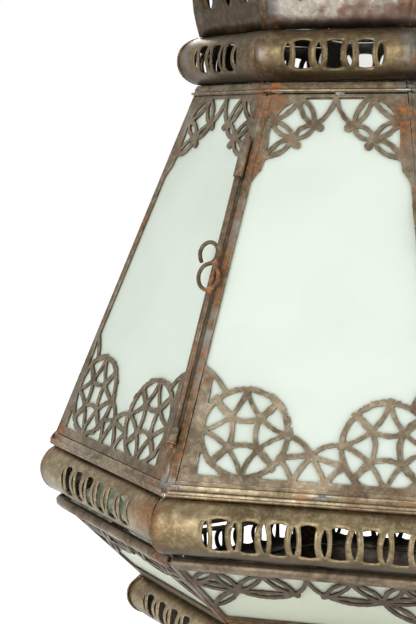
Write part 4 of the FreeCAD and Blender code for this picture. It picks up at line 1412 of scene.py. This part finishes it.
handle = wire_arc(-TAIL_TALL, TAIL_WIDE, TAIL_TALL, -215, 90)
handle += wire_arc(HEAD_TALL, HEAD_WIDE, HEAD_TALL, -90, -360)[1:]
handle += [on_handle(HANDLE_X + HEAD_WIDE - inset, z) for inset, z in HANDLE_TIP]
mesh = tube_mesh("turned_latch", [([rod_foot, rod_head], LATCH_ROD), (handle, LATCH_WIRE)])
add_piece("turned_latch", mesh, LATCH_IRON, "latch", "frame_iron", "latch_rod")
print("latch rod", round((rod_head - rod_foot).length / MM), "mm")

# %% [markdown]
# Solder holds the corners together and lies there in grey lumps, spread by the iron. A lump is a ball
# pressed flat against the sheet, with its skin pushed about by noise.

# %% Solder lumps
LUMP_SINK = 0.25
LUMP_SEED = 77


def solder_lump(bm, plane, place_at, size, seed):
    """A lump on a drawing plane, at u, v and w, with its half sizes along u, v and w."""
    ball = bmesh.ops.create_icosphere(bm, subdivisions=4, radius=1)["verts"]
    for vertex in ball:
        swell = 1 + 0.45 * noise.noise(vertex.co * 1.6 + Vector((seed * 5.3, 0, 0)))
        swell += 0.15 * noise.noise(vertex.co * 4.5 + Vector((0, seed * 3.1, 0)))
        shape = Vector([c * half * swell for c, half in zip(vertex.co, size)])
        vertex.co = plane @ (Vector(place_at) + shape)


bm = bmesh.new()
hand = random.Random(LUMP_SEED)
sill_v = 3.4
rail_v = main_storey.length - 2.6
post_v = 5.5
lumps = [
    (0, 2.0, rail_v - 2.2, 2.6, 1.7),
    (0, -27.0, rail_v - 1.4, 4.0, 1.4),
    (0, 8.5, sill_v + 0.3, 8.0, 1.6),
    (7, main_storey.half(post_v) - 3.2, post_v, 1.9, 6.2),
]
sill_half = main_storey.half(sill_v)
rail_half = main_storey.half(rail_v)
for number in range(SIDES):
    lumps.append((number, hand.uniform(2.0, 3.5) - sill_half, sill_v, hand.uniform(3.4, 5.0), 2.5))
    lumps.append((number, sill_half - hand.uniform(2.0, 3.5), sill_v, hand.uniform(3.0, 4.4), 2.3))
    lumps.append((number, hand.uniform(0.5, 2.0) - rail_half, rail_v, hand.uniform(1.8, 3.2), 1.8))
for index, (number, u, v, long, wide) in enumerate(lumps):
    height = hand.uniform(0.5, 0.8)
    solder_lump(bm, main_storey.matrix(number), (u, v, LUMP_SINK), (long, wide, height), index)
mesh = mesh_from("solder_lumps", bm)
shade(mesh, 60)
add_piece("solder_lumps", mesh, SOLDER, "lantern", "frame_iron")
print(len(lumps), "solder lumps")

# %% [markdown]
# Turned pieces, such as the finial and the bulb, are a profile spun round the
# upright axis. The profile is a short list of radii and heights between the frame's own levels.

# %% Turned pieces
SPUN_SIDES = 48
FINIAL_COLLAR = ((0.8, 0), (0, 0.8), (0, 2.2), (0.8, 3))
FINIAL_NECK = ((6, 3), (4.4, 4.5), (4.6, 6))
DROP_SWELL = 6.2
DROP_TAPER = 3.2
DROP_STEPS = 20


def spun_mesh(name, profile):
    bm = bmesh.new()
    rings = []
    for radius, z in profile:
        if radius == 0:
            rings.append([bm.verts.new((0, 0, z * MM))])
            continue
        ring = []
        for k in range(SPUN_SIDES):
            angle = 2 * math.pi * k / SPUN_SIDES
            ring.append(bm.verts.new((radius * math.cos(angle) * MM, radius * math.sin(angle) * MM, z * MM)))
        rings.append(ring)
    for lower, upper in zip(rings, rings[1:]):
        for k in range(SPUN_SIDES):
            a, b = lower[k % len(lower)], lower[(k + 1) % len(lower)]
            c, d = upper[(k + 1) % len(upper)], upper[k % len(upper)]
            corners = list(dict.fromkeys((a, b, c, d)))
            if len(corners) > 2:
                bm.faces.new(corners)
    bmesh.ops.recalc_face_normals(bm, faces=bm.faces)
    mesh = mesh_from(name, bm)
    shade(mesh, 40)
    return mesh


def levels(node):
    low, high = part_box(node)
    return low[2] / MM, high[2] / MM, high[0] / MM


low, high, reach = levels("bottom_finial")
finial = [(0, high)]
finial += [(reach - inset, high - drop) for inset, drop in FINIAL_COLLAR]
finial += [(radius, high - drop) for radius, drop in FINIAL_NECK]
neck, neck_drop = FINIAL_NECK[-1]
for k in range(1, DROP_STEPS):
    share = k / DROP_STEPS
    radius = neck + DROP_SWELL * math.sin(math.pi * share) ** 0.8 - DROP_TAPER * share
    finial.append((radius, high - neck_drop - share * (high - neck_drop - low)))
finial.append((0, low))
add_piece("turned_finial", spun_mesh("turned_finial", finial), TIN, "lantern", "tin_sheet", "bottom_finial")

# %% [markdown]
# A bead is rolled along the lower edge of the top rail, and the sill ends in a thicker roll. Each is
# a wire that runs from corner to corner.

# %% Beads of the rails
BEAD = 0.75
BEAD_OUT = 1.0
BEAD_RISE = 0.9
SILL_ROLL = 1.4
SILL_ROLL_AT = 0.5
SILL_ROLL_OUT = -0.3


def corner_to_corner(v, out, radius):
    """A wire along every side at one height, long enough to meet its neighbours at the corners."""
    half = main_storey.half(v) + out * math.tan(HALF_TURN)
    wires = []
    for number in range(SIDES):
        plane = main_storey.matrix(number)
        wires.append(([plane @ Vector((-half, v, out)), plane @ Vector((half, v, out))], radius))
    return wires


onto_front = main_storey.matrix(0).inverted()
bead_v = min((onto_front @ Vector(p)).y for p in node_points("top_rail")) + BEAD_RISE
beads = corner_to_corner(bead_v, BEAD_OUT, BEAD) + corner_to_corner(SILL_ROLL_AT, SILL_ROLL_OUT, SILL_ROLL)
add_piece("rail_bead", tube_mesh("rail_bead", beads), RAIL_IRON, "lantern", "frame_iron")

# %% [markdown]
# The ring is one wire bent to a circle. It hangs on a body of its own, because the lantern swings in it.

# %% Hanging ring
RING_STEPS = 64

low, high, _ = levels("hanging_ring")
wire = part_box("hanging_ring")[1][1] / MM
ring_middle = (high + low) / 2
ring_radius = (high - low) / 2 - wire
ring_path = []
for k in range(RING_STEPS + 1):
    turn = 2 * math.pi * k / RING_STEPS
    level = ring_middle + ring_radius * math.sin(turn)
    ring_path.append(Vector((ring_radius * math.cos(turn), 0, level)) * MM)
mesh = tube_mesh("forged_ring", [(ring_path, wire)])
add_piece("forged_ring", mesh, FRAME_IRON, "hanging_ring", "frame_iron", "hanging_ring")
print("ring", round(2 * ring_radius, 1), "mm across its bar")

# %% [markdown]
# Inside hangs a plain lamp: a ceramic holder on a bracket, a bulb with a brass cap and a plastic
# bush where the cable would enter. They show only through slots, but from below they count.

# %% Lamp
THIN_SHELL_IOR = 1.04
BULB_NECK = 13.0
BULB_SHOULDER = ((6, 14), (1.5, 6), (0, 0))


def plain_finish(name, light, dark, cloud, roughness, **constants):
    material, make, shader = new_material(name)
    light, dark = tint(*light), tint(*dark)
    skin = make.effect(PATINA, Dark=dark, Middle=light, Pale=light, Cloud_size=cloud, Speck=0.15)
    make.feed(shader["Base Color"], skin["Colour"])
    make.feed(shader["Roughness"], make.between(skin["Cloud"], 0.3, 0.7, roughness + 0.1, roughness - 0.05))
    make.feed(shader["Normal"], make.bump(skin["Height"], 0.3, 0.0001))
    for socket_name, value in constants.items():
        shader[socket_name.replace("_", " ")].default_value = value
    return material


CERAMIC = plain_finish("lamp ceramic", (226, 221, 210), (196, 188, 174), 40.0, 0.35)
BULB = plain_finish("bulb glass", (242, 241, 235), (232, 230, 222), 30.0, 0.1, Transmission_Weight=0.97,
                    IOR=THIN_SHELL_IOR)
BRASS = plain_finish("bulb cap brass", (196, 164, 96), (150, 118, 66), 90.0, 0.4, Metallic=1.0)
BUSH = plain_finish("bush plastic", (46, 44, 42), (30, 29, 28), 120.0, 0.5)

rounded_copy("ceramic_holder", "lamp_holder", CERAMIC, "lantern", "lamp_ceramic", 0.8)
rounded_copy("cap_of_bulb", "bulb_cap", BRASS, "lantern", "bulb_cap", 0.4)
rounded_copy("soft_bush", "cable_bush", BUSH, "lantern", "bush_plastic", 0.4)
low, high, reach = levels("bulb_glass")
globe = low + reach
bulb = [(0, low)]
bulb += [(reach * math.sin(a), globe - reach * math.cos(a)) for a in np.radians(range(10, 121, 10))]
bulb += [(BULB_NECK + wider, high - drop) for wider, drop in BULB_SHOULDER]
bulb.append((0, high))
add_piece("blown_bulb", spun_mesh("blown_bulb", bulb), BULB, "lantern", "bulb_glass", "bulb_glass")
print("bulb", round(2 * reach), "mm across")

# %% [markdown]
# The picture's light is a bright, soft room: white all round, a large soft lamp from the front left,
# a weak one below it, a fill from the right and one behind that lights the far panes. The floor is
# pale and far below. World and floor turn pure white only for rays that the camera, a reflection or
# clear glass sends out, so the object itself stays plainly lit.

# %% Light, floor and backdrop
ROOM_LIGHT = 0.62
FLOOR_RADIUS = 6.0
FLOOR_DROP = 0.25
FLOOR_GLOW = 0.45
LIT_POINT = Vector((0, 0, -0.33))


def seen_directly(make):
    """One for rays from the camera, a reflection or through glass."""
    path = make.place("LightPath").outputs
    seen = make.maths("MAXIMUM", path["Is Camera Ray"], path["Is Glossy Ray"])
    return make.maths("MAXIMUM", seen, path["Is Transmission Ray"])


world = bpy.data.worlds.new("white room")
bpy.context.scene.world = world
world.use_nodes = True
make = Recipe(world.node_tree)
background = world.node_tree.nodes["Background"].inputs
background["Color"].default_value = (1, 1, 1, 1)
make.feed(background["Strength"], make.between(seen_directly(make), 0, 1, ROOM_LIGHT, 1.0))

bm = bmesh.new()
bmesh.ops.create_circle(bm, cap_ends=True, radius=FLOOR_RADIUS, segments=64)
floor_mesh = mesh_from("floor", bm)
floor_object = bpy.data.objects.new("floor", floor_mesh)
floor_object.location = (0, 0, cad_box[0][2] - FLOOR_DROP)
bpy.context.scene.collection.objects.link(floor_object)
floor_material, make, shader = new_material("pale floor")
shader["Base Color"].default_value = (0.86, 0.86, 0.85, 1)
shader["Roughness"].default_value = 0.9
shader["Emission Color"].default_value = (1, 1, 1, 1)
make.feed(shader["Emission Strength"], make.times(seen_directly(make), FLOOR_GLOW))
floor_mesh.materials.append(floor_material)


def soft_lamp(name, place_at, size, watts):
    """A round lamp that points at the middle of the lantern."""
    lamp = bpy.data.lights.new(name, "AREA")
    lamp.shape = "DISK"
    lamp.size = size
    lamp.energy = watts
    holder = bpy.data.objects.new(name, lamp)
    holder.location = place_at
    holder.rotation_euler = (LIT_POINT - Vector(place_at)).to_track_quat("-Z", "Y").to_euler()
    bpy.context.scene.collection.objects.link(holder)


soft_lamp("key", (-0.6, -1.65, 0.15), 1.2, 12)
soft_lamp("low", (-0.45, -1.5, -0.85), 1.0, 5)
soft_lamp("fill", (1.5, -1.2, -0.1), 1.2, 8)
soft_lamp("back", (-0.6, 1.6, 0.5), 1.2, 24)
print("lamps:", ", ".join(lamp.name for lamp in bpy.data.lights))

# %% [markdown]
# The camera stands where the photographer stood: a little to the right of the door and above the
# middle of the main storey, looking slightly down with a long lens.

# %% Camera
LOOK_DOWN = math.radians(7.31)
LOOK_LEFT = math.radians(15.45)
CAMERA_AT = (0.11658, -0.71982, -0.21170)
LENS = 81.92
SENSOR = 36.0

camera_data = bpy.data.cameras.new("camera")
camera_data.lens = LENS
camera_data.sensor_width = SENSOR
camera = bpy.data.objects.new("camera", camera_data)
camera.location = CAMERA_AT
camera.rotation_euler = (math.radians(90) - LOOK_DOWN, 0, LOOK_LEFT)
bpy.context.scene.collection.objects.link(camera)
bpy.context.scene.camera = camera
bpy.context.scene.view_settings.view_transform = "Standard"
